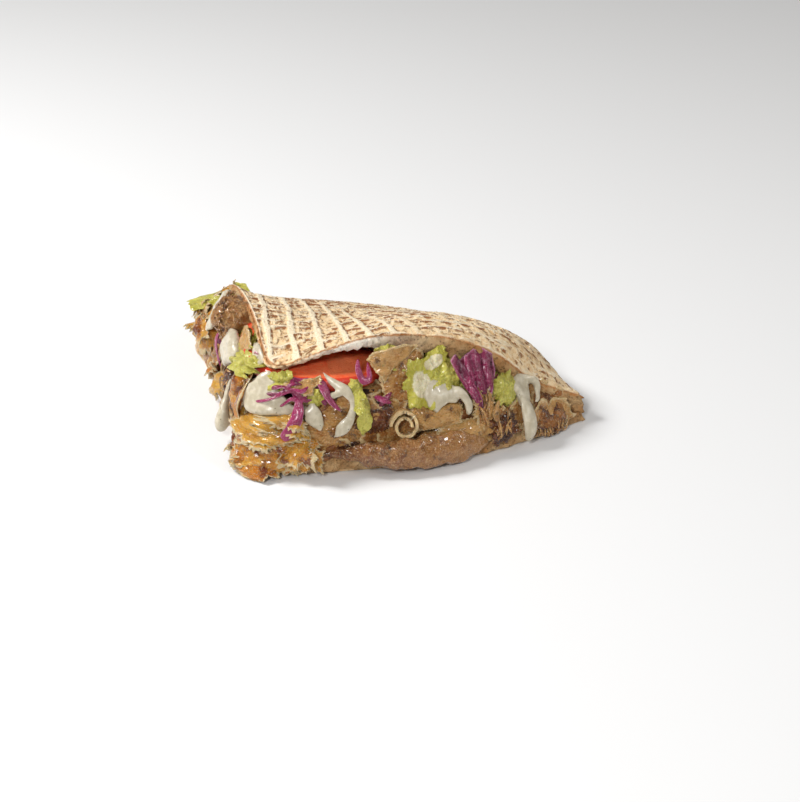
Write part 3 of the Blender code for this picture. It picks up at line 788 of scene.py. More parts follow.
FOODS = (
    # name, colours (main, second, third, rim), then
    # (blotch size, streak size, stretch along the flow, share of the third colour, rim width),
    # (roughness, coat, softness) and (bump strength, depth in metres)
    ("doner_meat", ((182, 114, 48), (230, 176, 104), (82, 34, 12), (246, 212, 154)),
     (5.0, 2.5, 3.0, 0.52, 0.13), (0.26, 0.55, 0.1), (1.0, 0.002)),
    ("seared_meat", ((132, 70, 32), (186, 118, 62), (58, 24, 12), (212, 156, 98)),
     (5.0, 2.5, 3.0, 0.6, 0.06), (0.26, 0.55, 0.1), (1.0, 0.002)),
    ("crisp_meat", ((220, 134, 30), (246, 184, 72), (124, 46, 14), (250, 222, 168)),
     (5.0, 1.4, 3.0, 0.56, 0.13), (0.24, 0.6, 0.1), (1.0, 0.002)),
    ("tomato_slice", ((238, 94, 56), (240, 134, 88), (196, 52, 32), (206, 60, 38)),
     (10.0, 3.0, 3.0, 0.3, 0.3), (0.2, 0.6, 0.2), (0.35, 0.0006)),
    ("lettuce_leaf", ((188, 180, 68), (220, 212, 108), (140, 124, 36), (214, 206, 96)),
     (5.0, 1.6, 1.5, 0.45, 0.04), (0.28, 0.4, 0.15), (1.0, 0.0012)),
    ("lettuce_rib", ((222, 210, 172), (236, 228, 200), (190, 168, 116), (190, 182, 70)),
     (6.0, 1.6, 3.0, 0.25, 0.5), (0.28, 0.3, 0.2), (0.7, 0.001)),
    ("red_cabbage", ((128, 18, 66), (168, 44, 98), (70, 10, 34), (210, 140, 168)),
     (6.0, 1.2, 6.0, 0.45, 0.08), (0.2, 0.5, 0.08), (0.8, 0.001)),
    ("caramelised_meat", ((142, 80, 34), (196, 138, 78), (66, 26, 10), (242, 206, 150)),
     (3.2, 1.2, 2.0, 0.5, 0.02), (0.22, 0.7, 0.1), (1.0, 0.0022)),
    ("fuzzy_meat", ((170, 110, 54), (214, 164, 104), (102, 54, 22), (224, 180, 120)),
     (4.0, 0.9, 2.0, 0.5, 0.01), (0.35, 0.4, 0.1), (1.0, 0.002)),
    # painted shade: the cores' dark browns stand for the shade deep in the pocket
    ("filling_core", ((86, 50, 24), (120, 78, 40), (40, 20, 12), (130, 88, 50)),
     (7.0, 2.5, 3.0, 0.6, 0.02), (0.5, 0.2, 0.1), (1.0, 0.001)),
)
looks = [food(*row) for row in FOODS]
meat_look, dark_meat_look, crisp_look, tomato_look, lettuce_look = looks[:5]
rib_look, cabbage_look, caramel_look, fuzzy_look, shaded_core_look = looks[5:]

# %% [markdown]
# White sauce is yoghurt with chopped herbs: smooth and softly glossy, a little see-through, with dark
# flecks. The flecks are the cells of a Voronoi pattern whose random colour passes a limit.

# %% Sauce material
sauce_look, tree, shader = new_material("white_sauce")
lumps = pattern(tree, 3.0, 3.0)
colour = blend(tree, ramp(tree, lumps, 0.35, 0.7), look(182, 171, 146), look(204, 194, 172))
herbs = spots(tree, 420.0, (0.78, 0.8), (0.1, 0.2))
colour = blend(tree, maths(tree, "MULTIPLY", herbs, 0.85), colour, look(92, 84, 60))
finish(
    tree, shader, colour, lumps, 0.35, 0.0006,
    roughness=0.3, coat_weight=0.25, subsurface_weight=0.1, subsurface_radius=(0.004, 0.003, 0.002),
)
print("materials:", len(bpy.data.materials))

# %% [markdown]
# ## One sheet for every slice and leaf
# A slice of meat, a leaf and a crisp flake are all thin sheets. A grid of two shares, from -1 to 1, is
# rounded towards a disc, its rim frayed with noise, and its height bent, crumpled and ruffled. Then it
# is laid at its place on the filling's face and given a thickness.

# %% Sheets
draw = np.random.default_rng(11)


def on_face(cut, rise, along, up, out):
    """A place near (cut, rise): along and up over the face, and out from it, in millimetres."""
    return placed(cut - along / CUT_MM, rise + up, out)


def sorted_by_angle(angles, lengths):
    """Directions in rising order, with their lengths."""
    order = np.argsort(angles)
    return angles[order], lengths[order]


def inside(outline, x, y):
    """A disc stretched to an outline: each direction's reach is read off the outline's own corners."""
    corners = np.array(outline, float)
    middle = corners.mean(axis=0)
    ends = np.concatenate([corners, corners[:1]]) - middle
    share = np.linspace(0, 1, 12, endpoint=False)[:, None, None]
    dense = (ends[:-1] + (ends[1:] - ends[:-1]) * share).reshape(-1, 2)
    rim = sorted_by_angle(np.arctan2(dense[:, 1], dense[:, 0]), np.hypot(dense[:, 0], dense[:, 1]))
    reach = np.interp(np.arctan2(y, x), *rim, period=2 * np.pi)
    return middle[0] + x * reach, middle[1] + y * reach


def sheet(
    cut, rise, width, height, turn=0.0, out=2.0, thick=1.6, cup=(0, 0), lean=(0, 0), ruffle=(0, 5),
    crumple=1.0, lump=7.0, ragged=0.08, square=0.4, tone=0.0, seed=0.0, steps=(30, 24), outline=None,
    crease=0.0, pleat=(0, 1), fray=0.0,
):
    """A thin sheet laid on the face. Its height is out, plus a slope (lean), a square curve (cup), a wave
    round the rim (ruffle), side by side folds (pleat), sharp creases and noise (crumple)."""
    s, t = np.meshgrid(np.linspace(-1, 1, steps[0]), np.linspace(-1, 1, steps[1]), indexing="ij")
    square = 0.0 if outline else square
    x = (1 - square) * s * np.sqrt(1 - t * t / 2) + square * s
    y = (1 - square) * t * np.sqrt(1 - s * s / 2) + square * t
    rho, angle = np.maximum(np.abs(s), np.abs(t)), np.arctan2(y, x)
    ring = np.stack([1.5 * np.cos(angle), 1.5 * np.sin(angle), 0 * angle + seed], -1)
    grow = 1 + ragged * rho**3 * (1.3 * noise(ring * 1.3) + noise(ring * 2.9) + 0.45 * noise(ring * 7.0))
    grow = grow + fray * rho**8 * noise(ring * 12.0)
    if outline:
        a, b = inside(outline, x * grow, y * grow)
    else:
        a, b = 0.5 * width * x * grow, 0.5 * height * y * grow
    spot = np.stack([a, b, 0 * a + 13.7 * seed], -1)
    bumps = rough(spot, lump, 4)
    folds = 0.5 - np.abs(noise(spot / lump + 3.1)) - 0.4 * np.abs(noise(spot / (0.45 * lump) + 8.7))
    wave = np.abs(np.sin(0.5 * np.pi * pleat[1] * x + seed))
    level = out + lean[0] * x + lean[1] * y + cup[0] * x * x + cup[1] * y * y
    level = level + crumple * bumps + crease * folds + pleat[0] * wave
    level = level + ruffle[0] * rho**2 * np.sin(ruffle[1] * angle + seed)
    turned = math.radians(turn)
    along = a * math.cos(turned) - b * math.sin(turned)
    up = a * math.sin(turned) + b * math.cos(turned)
    middle = on_face(cut, rise, along, up, level)
    thickness = thick * (0.35 + 0.65 * (1 - rho**6)) * (1 + 0.25 * noise(spot / 3.0))
    # painted shade: this mark darkens the dips of the crumple and the creases, and the valleys of the
    # pleats
    hollow = np.clip(-0.4 * bumps * min(1.0, crumple) - 0.5 * folds * min(1.0, crease), 0, 0.7)
    hollow = hollow + (0.6 * (1 - wave) ** 2 if pleat[0] else 0)
    round_rim = np.sqrt(s * s + t * t - s * s * t * t)
    return sheet_solid(
        middle, thickness, rim=round_rim, tone=tone, hollow=hollow, flow_x=a + 7.3 * seed, flow_y=b,
    )


print("faces of a plain sheet:", len(sheet(-0.3, 30, 20, 20)[1]))

# %% [markdown]
# Shreds, curls and drips are strands: ellipses carried along a middle line, closed at both ends. Meat
# also sheds loose fibres, which are the thinnest strands.

# %% Strands and fibres
FIBRE = 0.7  # a meat fibre's thickness


def fibres(count, cut, rise, wide, high, out, length, turn=0.0, spread=40.0):
    """Loose fibres of meat scattered over an oval: short, thin, bent strands."""
    solids = []
    for k in range(count):
        angle, reach = draw.uniform(0, 2 * np.pi), math.sqrt(draw.uniform(0, 1))
        along, up = 0.5 * wide * reach * math.cos(angle), 0.5 * high * reach * math.sin(angle)
        way = math.radians(turn + draw.uniform(-spread, spread))
        half = 0.5 * length * draw.uniform(0.6, 1.3)
        a, b, bend = half * math.cos(way), half * math.sin(way), draw.uniform(-1.5, 1.5)
        level = out * (1 - 0.45 * reach**2)
        line = (
            (along - a, up - b, level - 0.8, 0.5, 0.5),
            (along - bend * 0.4, up + bend, level + draw.uniform(0, 1.2), 1.6 * FIBRE, FIBRE),
            (along + a, up + b, level - 0.6, 0.4, 0.4),
        )
        solids.append(strand(cut, rise, line, around=6, steps=8, tone=draw.uniform(-1, 1), seed=90.0 + k))
    return solids


def strand(cut, rise, line, around=16, steps=28, tone=0.0, seed=0.0, wobble=0.0, blunt=0.25):
    """A strap or a drip along a middle line. Each row of line is (along, up, out, width, thickness) and,
    if wanted, a twist in degrees. Loops are ellipses, and the ends close with a quarter circle."""
    line = np.array([(*row, 0.0)[:6] for row in line], float)
    places = np.linspace(0, 1, len(line))
    at = 0.5 - 0.5 * np.cos(np.pi * np.linspace(0.0, 1, steps))
    along, up, out, width, thick, twist = (through(np.stack([places, c], -1), at) for c in line.T)
    run = np.stack([np.gradient(along), np.gradient(up), np.gradient(out)], -1)
    run /= np.linalg.norm(run, axis=-1, keepdims=True) + 1e-9
    side = np.cross(run, np.array([0.0, 0.0, 1.0]))
    side /= np.linalg.norm(side, axis=-1, keepdims=True) + 1e-9
    front = np.cross(side, run)
    to_end = np.clip(1 - np.minimum(at, 1 - at) / blunt, 0, 1)
    closing = np.sqrt(np.clip(1 - to_end**2, 0.0004, 1))
    phi = np.linspace(0, 2 * np.pi, around, endpoint=False)[None]
    u = (0.5 * width * closing)[:, None] * np.cos(phi)
    v = (0.5 * thick * closing)[:, None] * np.sin(phi)
    turned = np.radians(twist)[:, None]
    u, v = u * np.cos(turned) - v * np.sin(turned), u * np.sin(turned) + v * np.cos(turned)
    centre = np.stack([along, up, out], -1)[:, None]
    local = centre + side[:, None] * u[..., None] + front[:, None] * v[..., None]
    if wobble:
        away = local - centre
        away /= np.linalg.norm(away, axis=-1, keepdims=True) + 1e-9
        local = local + away * (wobble * rough(local + 31.0 * seed, 5.0, 3) * closing[:, None])[..., None]
    loops = settled(on_face(cut, rise, local[..., 0], local[..., 1], local[..., 2]))
    rim = np.abs(np.cos(phi)) + 0 * u
    length = np.concatenate([[0], np.cumsum(np.linalg.norm(np.diff(centre[:, 0], axis=0), axis=1))])
    return rows_solid(
        loops, rim=rim, tone=tone, hollow=0.0, flow_x=length[:, None] + 7.3 * seed + 0 * u, flow_y=u,
    )

# %% [markdown]
# ## The filling's core
# Behind the pieces that show, the pocket is full. Two dark, bumpy cores fill it, a little smaller than
# the layers of meat and salad that they stand for. Their dark brown is painted shade deep in the pocket.

# %% Cores of the filling
MEAT_SHARE = 0.62


def core_loops(low, high, room_for_tomato, steps=150):
    """Sections of a layer of the pocket: its open side, its top and its underside, pushed in by noise."""
    at = np.linspace(-0.9, 0.95, steps)[:, None]
    floor, zero = base_thickness(at), np.zeros_like(at)
    gap = under_height(at, zero) - floor
    share = np.linspace(low + 0.02, high - 0.03, 18)[None]
    rise = floor + gap * share
    front = face(np.broadcast_to(at, rise.shape), rise)
    behind_tomato = room_for_tomato * smooth((at + 0.42) / 0.1) * smooth((0.25 - at) / 0.1)
    front[..., :2] -= outward(at) * (6.0 + behind_tomato + 0 * rise)[..., None]
    front[..., 2] -= 0.5 * behind_tomato
    inward = np.linspace(0.04, 0.8, 16)[None]
    crust = crust_plan(at)
    room = under_height(at, inward) - floor
    top = between(front[:, -1:, :2], crust, inward)
    top = np.concatenate([top, (floor + room * high - 1.0 - 0.5 * behind_tomato)[..., None]], -1)
    bottom = between(front[:, :1, :2], crust, inward)
    bottom = np.concatenate([bottom, (floor + np.maximum(room, 0) * low + 0.5 + 0 * inward)[..., None]], -1)
    loops = np.concatenate([front, top, bottom[:, ::-1]], axis=1)
    bumps = 1.3 * rough(loops, 8.0, 4)[:, : front.shape[1]]
    loops[:, : front.shape[1], :2] += outward(at) * bumps[..., None]
    return loops


for name, low, high, room_for_tomato, tone, slot_name, node in (
    ("meat_core", 0.0, MEAT_SHARE, 0.0, 0.0, "meat", "meat_heap"),
    ("salad_core", MEAT_SHARE, 1.0, 28.0, 0.3, "lettuce", "salad_heap"),
):
    loops = core_loops(low, high, room_for_tomato)
    core = rows_solid(loops, rim=0.0, tone=tone, hollow=0.0, flow_x=loops[..., 0], flow_y=loops[..., 2])
    put(name, core, shaded_core_look, node)

# %% [markdown]
# Real slices, leaves and shreds are then packed over the open side of the cores, at random places.

# %% Packed slices and shreds


def packed(count, low, high, ends, widths, heights, outs, **common):
    """Many sheets at random places between two shares of the opening's height."""
    solids = []
    for k in range(count):
        cut = draw.uniform(*ends)
        floor = float(base_thickness(np.array(cut)))
        gap = float(under_height(np.array(cut), np.array(0.0))) - floor
        rise = floor + gap * draw.uniform(low, high)
        solids.append(sheet(
            cut, rise, draw.uniform(*widths), draw.uniform(*heights), turn=draw.uniform(-35, 35),
            out=draw.uniform(*outs), cup=tuple(draw.uniform(-2.5, 2.5, 2)),
            lean=tuple(draw.uniform(-3, 3, 2)), tone=draw.uniform(-1, 1), seed=20.0 + k, steps=(18, 14),
            **common,
        ))
    return together(solids)


WHOLE, RIGHT, LEFT = (-0.9, 0.93), (-0.8, -0.4), (0.12, 0.9)  # parts of the opening
LEAFY = {"thick": 0.9, "crumple": 1.5, "ruffle": (1.5, 7)}
slices = packed(
    120, 0.0, 0.57, WHOLE, (18, 34), (10, 18), (-5.0, 0.3), thick=1.8, crumple=1.3, ragged=0.14,
)
put("packed_slices", slices, meat_look, "meat_heap")
seared = packed(
    40, 0.0, 0.57, WHOLE, (12, 24), (8, 14), (-4.5, 0.5), thick=2.0, crumple=1.8, ragged=0.2,
)
put("packed_seared_slices", seared, dark_meat_look, "meat_heap")
leaves = together([
    packed(30, 0.68, 0.93, RIGHT, (14, 24), (7, 13), (-3.0, -0.3), **LEAFY),
    packed(22, 0.68, 0.93, LEFT, (14, 24), (7, 13), (-2.5, 0.2), **LEAFY),
])
put("packed_lettuce", leaves, lettuce_look, "salad_heap")
shreds = together([
    packed(14, 0.6, 0.9, part, (14, 24), (2.5, 4.5), (-2.0, 0.4), thick=1.3, crumple=1.2)
    for part in (RIGHT, LEFT)
])
put("packed_cabbage", shreds, cabbage_look, "salad_heap")
print("faces packed over the cores:", sum(len(p[1]) for p in (slices, seared, leaves, shreds)))

# %% [markdown]
# ## Tomato
# Two round slices sit under the upper flap. Only their skin side and a sliver of the cut face show, so
# the disc has a smooth, softly rounded skin, and flesh with seed pockets on its faces.

# %% Tomato slices
TOMATO_SAG = 0.006  # how fast a slice bends down under the flap, per millimetre squared
SAG_START = -10.0
TOMATOES = (  # name, node, middle, radius, tilt to the front and to the right
    ("tomato_slice_front", "tomato_slice_corner", (36.0, 31.0, 48.5), 42.0, 4.0, 2.0),
    ("tomato_slice_beside", "tomato_slice_right", (74.0, 20.0, 39.0), 25.0, 3.0, 0.0),
)


def tomato(middle, radius, to_front, to_right, thickness=7.5, around=120):
    """A lobed disc: rings out to the rim, a rim rounded by a superellipse, and rings back."""
    flat = np.linspace(0.02, 0.93, 20)
    turn = np.linspace(0, np.pi, 12)[1:-1]
    reach = np.concatenate([flat, 0.93 + 0.07 * np.sin(turn) ** 0.7, flat[::-1]])
    rounded = 0.5 * np.sign(np.cos(turn)) * np.abs(np.cos(turn)) ** 0.7
    level = np.concatenate([0 * flat + 0.5, rounded, 0 * flat - 0.5])
    angle = np.linspace(0, 2 * np.pi, around, endpoint=False)[None]
    lobes = 1 + 0.02 * np.cos(5 * angle)
    r, z = radius * reach[:, None] * lobes, thickness * level[:, None] + 0 * angle
    spot = np.stack([r * np.cos(angle), r * np.sin(angle), z], -1)
    seeds = smooth((reach[:, None] - 0.35) / 0.1) * (1 - smooth((reach[:, None] - 0.78) / 0.08))
    pocket = seeds * smooth((np.cos(5 * angle + 0.6) - 0.05) / 0.4)
    spot[..., 2] *= 1 - 0.16 * pocket + 0.02 * rough(spot, 4.0, 2)
    a, b = math.radians(to_front), math.radians(to_right)
    about_x = np.array([[1, 0, 0], [0, math.cos(a), -math.sin(a)], [0, math.sin(a), math.cos(a)]])
    about_y = np.array([[math.cos(b), 0, math.sin(b)], [0, 1, 0], [-math.sin(b), 0, math.cos(b)]])
    past = np.maximum((spot[..., 0] + spot[..., 1]) / math.sqrt(2) - SAG_START, 0)
    spot = spot @ (about_y @ about_x).T
    spot[..., 2] -= TOMATO_SAG * past**2
    loops = spot + np.array(middle)
    rim = smooth((reach[:, None] - 0.9) / 0.05) + 0 * angle
    return rows_solid(loops, rim=rim, tone=pocket, flow_x=angle * radius + 0 * r, flow_y=r)


for name, node, *shape in TOMATOES:
    put(name, tomato(*shape), tomato_look, node)

# %% [markdown]
# ## Meat on the open face
# Each slice that can be told apart is its own sheet, laid from the back to the front. Thin slices
# sag and curl, so each has its own curve, and seared ones are darker and rougher.

# %% Slices of meat
# node: (cut, rise, out, curve along and up, slope along and up, crumple, crease, tone, fray,
# corners of the outline)
SLICES = {
    "meat_slice_behind": (
        -0.407, 44, 2.2, (-2.5, -1.5), (0, 2), 0.9, 1.2, 0.0, 0.05,
        ((-13, 8), (-6, 14), (6, 15), (13, 9), (13, -3), (9, -12), (3, -15), (-6, -13), (-12, -4)),
    ),
    "meat_slice_front": (
        -0.165, 26, 2.6, (-3.0, -2.5), (0, -1), 0.8, 0.8, 0.3, 0.04,
        (
            (-17, -3), (-14, 5), (-6, 12), (2, 16), (12, 12), (17, 3), (17, -8), (8, -13), (-6, -14),
            (-15, -12),
        ),
    ),
    "meat_slice_dark": (
        -0.315, 29, 1.0, (1.5, -1.0), (0, 0), 1.0, 1.5, -1.0, 0.1,
        ((-7, 8), (0, 9), (7, 7), (8, -3), (3, -9), (-5, -9), (-8, -2)),
    ),
    "meat_slice_middle": (
        -0.495, 25, 3.6, (-1.5, -2.0), (0, -1), 0.7, 0.6, 0.9, 0.08,
        ((-14, 5), (-6, 7), (4, 6), (13, 5), (15, 0), (12, -5), (3, -7), (-8, -7), (-14, -4)),
    ),
    "meat_slice_wide": (
        -0.60, 12, 3.8, (-2.0, -2.5), (1, 0), 1.0, 0.9, 1.1, 0.05,
        (
            (-20, 2), (-15, 7), (-5, 8), (8, 9), (18, 10), (22, 5), (14, -2), (5, -7), (-6, -10), (-16, -9),
            (-21, -5),
        ),
    ),
    "meat_slice_right": (
        -0.883, 11.5, 2.8, (-1.5, -1.5), (0, -1), 0.9, 1.0, -1.0, 0.12,
        (
            (-10, 9), (0, 11), (10, 8), (11, 0), (9, -6), (7, -11), (4, -7), (1, -10), (-3, -7), (-6, -11),
            (-9, -8), (-11, 0),
        ),
    ),
    "meat_crumbled": (
        -0.70, 13, 4.2, (1.0, -1.0), (0, 0), 1.8, 2.5, -0.6, 0.3,
        ((-7, 6), (0, 8), (7, 6), (8, -3), (3, -8), (-5, -8), (-8, -2)),
    ),
    "meat_slice_pointed": (
        -0.375, 52, 5.6, (-1.5, 1.5), (1, 3), 0.6, 0.8, 0.8, 0.05,
        (
            (-13, 3), (-10, 6), (0, 7), (8, 7), (14, 5), (8, 1.5), (3, -0.5), (-1, -3), (-5, -8), (-8, -4),
            (-11, 0),
        ),
    ),
    "meat_slice_small": (
        -0.10, 45.5, 5.6, (1.0, 1.2), (0, -1), 0.8, 1.4, 1.0, 0.12,
        (
            (-9, 2.5), (-4, 1.5), (0, 3.5), (5, 3.5), (9, 5), (8, 1), (4, -1), (3, -4), (-1, -4), (-5, -3),
            (-9, -1),
        ),
    ),
    "meat_frayed": (
        -0.643, 24, 4.4, (1.0, 0.5), (0, 0), 1.6, 2.5, 0.7, 0.35,
        ((-5, 6), (-2, 4), (0, 8), (2, 4), (5, 8), (6, 1), (4, -7), (-2, -9), (-5, -3)),
    ),
    "meat_dark_left": (
        0.30, 25, 2.5, (-2.0, -2.0), (0, 0), 1.4, 2.6, -0.9, 0.15,
        (
            (-22, 10), (-14, 15), (-2, 14), (9, 12), (16, 4), (14, -8), (6, -15), (-4, -16), (-12, -10),
            (-20, 0),
        ),
    ),
    "meat_slice_left": (
        0.60, 20, 1.0, (-1.5, -2.0), (0, 0), 1.2, 1.8, -0.2, 0.12,
        ((-14, 3), (-8, 10), (3, 11), (13, 9), (17, 0), (10, -11), (-3, -12), (-12, -7)),
    ),
    "meat_pale_left": (
        0.225, 53, 4.4, (-1.0, 1.0), (0, 0), 0.7, 0.8, 1.2, 0.06,
        ((-13, 2), (-6, 7), (4, 6), (11, 1), (6, -4), (-1, -6), (-9, -4)),
    ),
}
SEARED = ("meat_slice_dark", "meat_dark_left", "meat_crumbled")
for k, (node, row) in enumerate(SLICES.items()):
    cut, rise, out, cup, lean, crumple, crease, tone, fray, outline = row
    solid = sheet(
        cut, rise, 0, 0, out=out, thick=1.7, cup=cup, lean=lean, crumple=crumple, crease=1.5 * crease,
        tone=tone, lump=6.0, ragged=0.05, fray=fray, seed=float(k), steps=(64, 52), outline=outline,
    )
    name = "slice_" + node.removeprefix("meat_").removeprefix("slice_")
    put(name, solid, dark_meat_look if node in SEARED else meat_look, node)

# %% [markdown]
# Some pieces aren't flat: the long slice folded along the bottom, a slice rolled into a tube, thin
# curls, and the thick, fuzzy fold of meat at the left.

# %% Folded, rolled and curled meat
FOLD_STEPS = 190
fold_tone = np.linspace(1.8, -1.0, FOLD_STEPS)  # pale at the right end, browner to the left
fold = strand(-0.34, 9.0, (
    (52, -1.0, 3.0, 8, 5), (40, -1.0, 4.5, 13, 8), (24, -0.5, 6.0, 15, 10), (8, -0.2, 6.5, 14, 10.5),
    (-8, 1.0, 6.0, 11, 9), (-22, 2.0, 4.5, 6.0, 5), (-36, 2.5, 3.5, 2.0, 2.0),
), around=64, steps=FOLD_STEPS, seed=3.0, wobble=1.1, tone=fold_tone[:, None])
put("folded_slice", fold, caramel_look, "meat_fold")


def roll(cut, rise, axis, length, turns, radius, thick=1.5, seed=0.0, steps=(26, 70)):
    """A sheet rolled into a tube: a spiral whose radius grows with its angle, carried along an axis."""
    axis = np.array(axis, float) / np.linalg.norm(axis)
    side = np.cross(axis, (0.0, 0.0, 1.0))
    side /= np.linalg.norm(side)
    front = np.cross(side, axis)
    s, t = np.meshgrid(np.linspace(0, 1, steps[0]), np.linspace(0, 1, steps[1]), indexing="ij")
    angle = 2 * np.pi * turns * t + 0.6
    spot = np.stack([s * 3, np.cos(angle), np.sin(angle) + seed], -1)
    reach = radius * (0.45 + 0.55 * t) * (1 + 0.1 * noise(spot)) * (1 + 0.12 * s)
    ends = length * s + 2.2 * rough(spot * 2, 1.2, 3) * (1 - s)
    local = axis * ends[..., None] + side * (reach * np.cos(angle))[..., None]
    local = local + front * (reach * np.sin(angle))[..., None]
    middle = on_face(cut, rise, local[..., 0], local[..., 1], local[..., 2] + 8.5)
    # painted shade: the mark grows along the roll, darker away from its pale, open end
    return sheet_solid(
        middle, thick, rim=(1 - s) ** 0.5, tone=0.8, hollow=0.5 * s, flow_x=reach * angle, flow_y=ends,
    )


rolled = roll(-0.385, 21.4, (0.12, 0.25, -0.96), 20.0, 1.45, 7.2)
put("rolled_slice", rolled, meat_look, "meat_roll")
curl = strand(
    -0.698, 20.0, ((3, 6, 4, 1, 1), (-2, 3, 6, 2.6, 1.6), (-3, -2, 6.5, 2.8, 1.6), (0, -6, 5, 1, 1)),
    seed=5.0, wobble=0.3, tone=0.4,
)
put("curled_slice_right", curl, meat_look, "meat_curl")
curl = together([
    strand(
        0.10, 33.0,
        ((-1, 15, 4, 4, 2, 0), (-3, 8, 6, 7, 2, 40), (-2, -3, 6.5, 8, 2, 25), (2, -15, 4, 5, 2, 40)),
        around=28, steps=80, seed=6.0, wobble=1.3, tone=-0.3,
    ),
    strand(
        0.06, 33.0,
        ((-1, 14, 4, 3, 2, 0), (1, 6, 6, 6, 2, -40), (0, -5, 6.5, 7, 2, -30), (3, -14, 4, 4, 2, -20)),
        around=28, steps=80, seed=8.0, wobble=1.1, tone=-0.8,
    ),
    strand(
        0.13, 30.0, ((-1, 10, 4, 3, 2, 0), (-3, 3, 6, 6, 2, 60), (-1, -6, 5.5, 5, 2, 40)), around=20,
        steps=60, seed=7.0, wobble=1.3, tone=0.6,
    ),
])
put("curled_slice_left", curl, crisp_look, "meat_curl_left")
ball = strand(
    0.47, 49.0,
    ((17, 5, -1, 9, 8), (10, 3, 4, 17, 14), (0, 0, 7, 20, 17), (-12, -3, 6, 18, 15), (-20, -5, 2, 11, 9)),
    around=56, steps=90, seed=9.0, wobble=1.8, tone=0.0,
)
ball = together([ball, *fibres(160, 0.47, 49.0, 40, 19, 15.5, 8.0, turn=15.0)])
put("thick_fold_left", ball, fuzzy_look, "meat_ball_left")

loose = together([
    *fibres(26, -0.643, 24.0, 12, 15, 7.0, 9.0, turn=70.0, spread=50.0),
    *fibres(22, -0.70, 14.0, 14, 14, 6.5, 8.0, spread=90.0),
    *fibres(20, -0.88, 3.5, 20, 4, 5.5, 7.0, turn=80.0),
    *fibres(24, 0.30, 25.0, 34, 26, 7.5, 9.0, turn=60.0, spread=60.0),
])
put("loose_fibres", loose, meat_look, "meat_frayed")

# %% [markdown]
# ## The crisp corner
# At the corner the meat was sliced from the outside of the spit. It lies in thin, ragged flakes, one
# above another, orange where it is crisp and cream along the frayed edges.

# %% Crisp flakes
LAYERS = 5
FLAKES = (  # node, cut, rise, width, height, turn, out, curve, slope, tone
    ("crisp_flake_low", -0.045, 9, 24, 12, 8, 3.0, (-2.5, -1.5), (-1, 1), -0.3),
    ("crisp_flake_middle", -0.045, 15.5, 25, 12, -8, 3.0, (-2.0, -1.5), (2, -4), 0.1),
    ("crisp_flake_left", 0.04, 13, 16, 15, 20, 2.0, (-1.5, -1.5), (-2, 0), -0.6),
    ("crisp_flake_upper", 0.0, 22, 24, 13, 12, 3.0, (-2.0, -1.5), (-1, -4), 0.2),
    ("crisp_flake_top", -0.02, 30, 26, 15, -6, 3.0, (-2.5, -2.0), (0, -4), 0.5),
    ("crisp_fringe_left", 0.47, 17, 13, 18, 10, 0.5, (0.5, -1.0), (0, 0), 0.4),
    ("meat_orange_left", 0.72, 25, 30, 16, 15, 4.5, (-2.0, -2.0), (0, 0), 0.1),
    ("meat_far_left", 0.88, 26, 24, 15, 0, 5.0, (-1.0, -1.0), (0, 0), -0.6),
)
for k, (node, cut, rise, width, height, turn, out, cup, lean, tone) in enumerate(FLAKES):
    layers = []
    for n in range(LAYERS):
        shift, lift_up = draw.uniform(-0.06, 0.06) * (n > 0), draw.uniform(-4, 3) * (n > 0)
        shorter = draw.uniform(0.35, 0.8) if n else 1
        lower, twist = draw.uniform(0.6, 1.3), draw.uniform(-75, 75) * (n > 0)
        slope = lean[0] + draw.uniform(-6, 6), lean[1] + draw.uniform(-7, 2)
        layers.append(sheet(
            cut + shift, rise + lift_up, width * shorter, height * lower, turn + twist, out + 0.8 * n,
            thick=1.0, cup=cup, lean=slope, crumple=1.9, lump=7.5, ragged=0.32, fray=0.25, crease=2.6,
            tone=tone + draw.uniform(-1.0, 1.2), seed=40.0 + 5 * k + n, steps=(56, 40), ruffle=(1.4, 5),
        ))
    name = "flake_" + node.split("_", 1)[1].removeprefix("flake_")
    put(name, together(layers), crisp_look, node)

# %% [markdown]
# ## Lettuce
# Lettuce is a frilled sheet: its middle is a pale, stiff rib and its rim has grown too long to lie
# flat, so it waves. The wave's height grows with the square of the distance from the middle.

# %% Lettuce
LEAVES = (  # node, cut, rise, width, height, turn, out, slope up, waves, frill, pale
    ("lettuce_top", -0.365, 56.5, 12, 9, 0, 5.0, 0, 7, 1.8, 0),
    ("lettuce_pale", -0.505, 48.5, 20, 10, 15, 5.5, 0, 5, 1.2, 1),
    ("lettuce_middle", -0.54, 41.5, 17, 11, 10, 6.0, 0, 6, 1.8, 0),
    ("lettuce_rib", -0.455, 40, 18, 22, 0, 5.5, 0, 5, 1.8, 1),
    ("lettuce_nub", -0.252, 44, 7, 6.5, 0, 5.5, 0, 4, 1.2, 0),
    ("lettuce_small", -0.127, 40, 8, 8, 0, 7.0, 0, 5, 1.4, 0),
    ("lettuce_right", -0.73, 29, 15, 12, 10, 5.5, 0, 6, 1.8, 0),
    ("lettuce_corner", -0.037, 48, 10, 10, 0, 7.0, 0, 6, 1.8, 0),
    ("lettuce_left", 0.15, 47, 36, 12, 6, 6.5, -3, 9, 2.4, 0),
    ("lettuce_back", 0.88, 31, 22, 15, 0, 6.0, -12, 3, 1.0, 0),
    ("lettuce_back_frill", 0.74, 40, 26, 9, 8, 7.0, -5, 8, 1.8, 0),
)
for k, (node, cut, rise, width, height, turn, out, slope, waves, frill, pale) in enumerate(LEAVES):
    solid = sheet(
        cut, rise, width, height, turn, out, thick=0.7, cup=(-1.5, -1.0), lean=(0, slope),
        ruffle=(frill, waves), crumple=0.9, lump=3.5, ragged=0.14, crease=1.8, seed=60.0 + k,
        steps=(56, 46), square=0.45,
    )
    put("leaf" + node[7:], solid, rib_look if pale else lettuce_look, node)
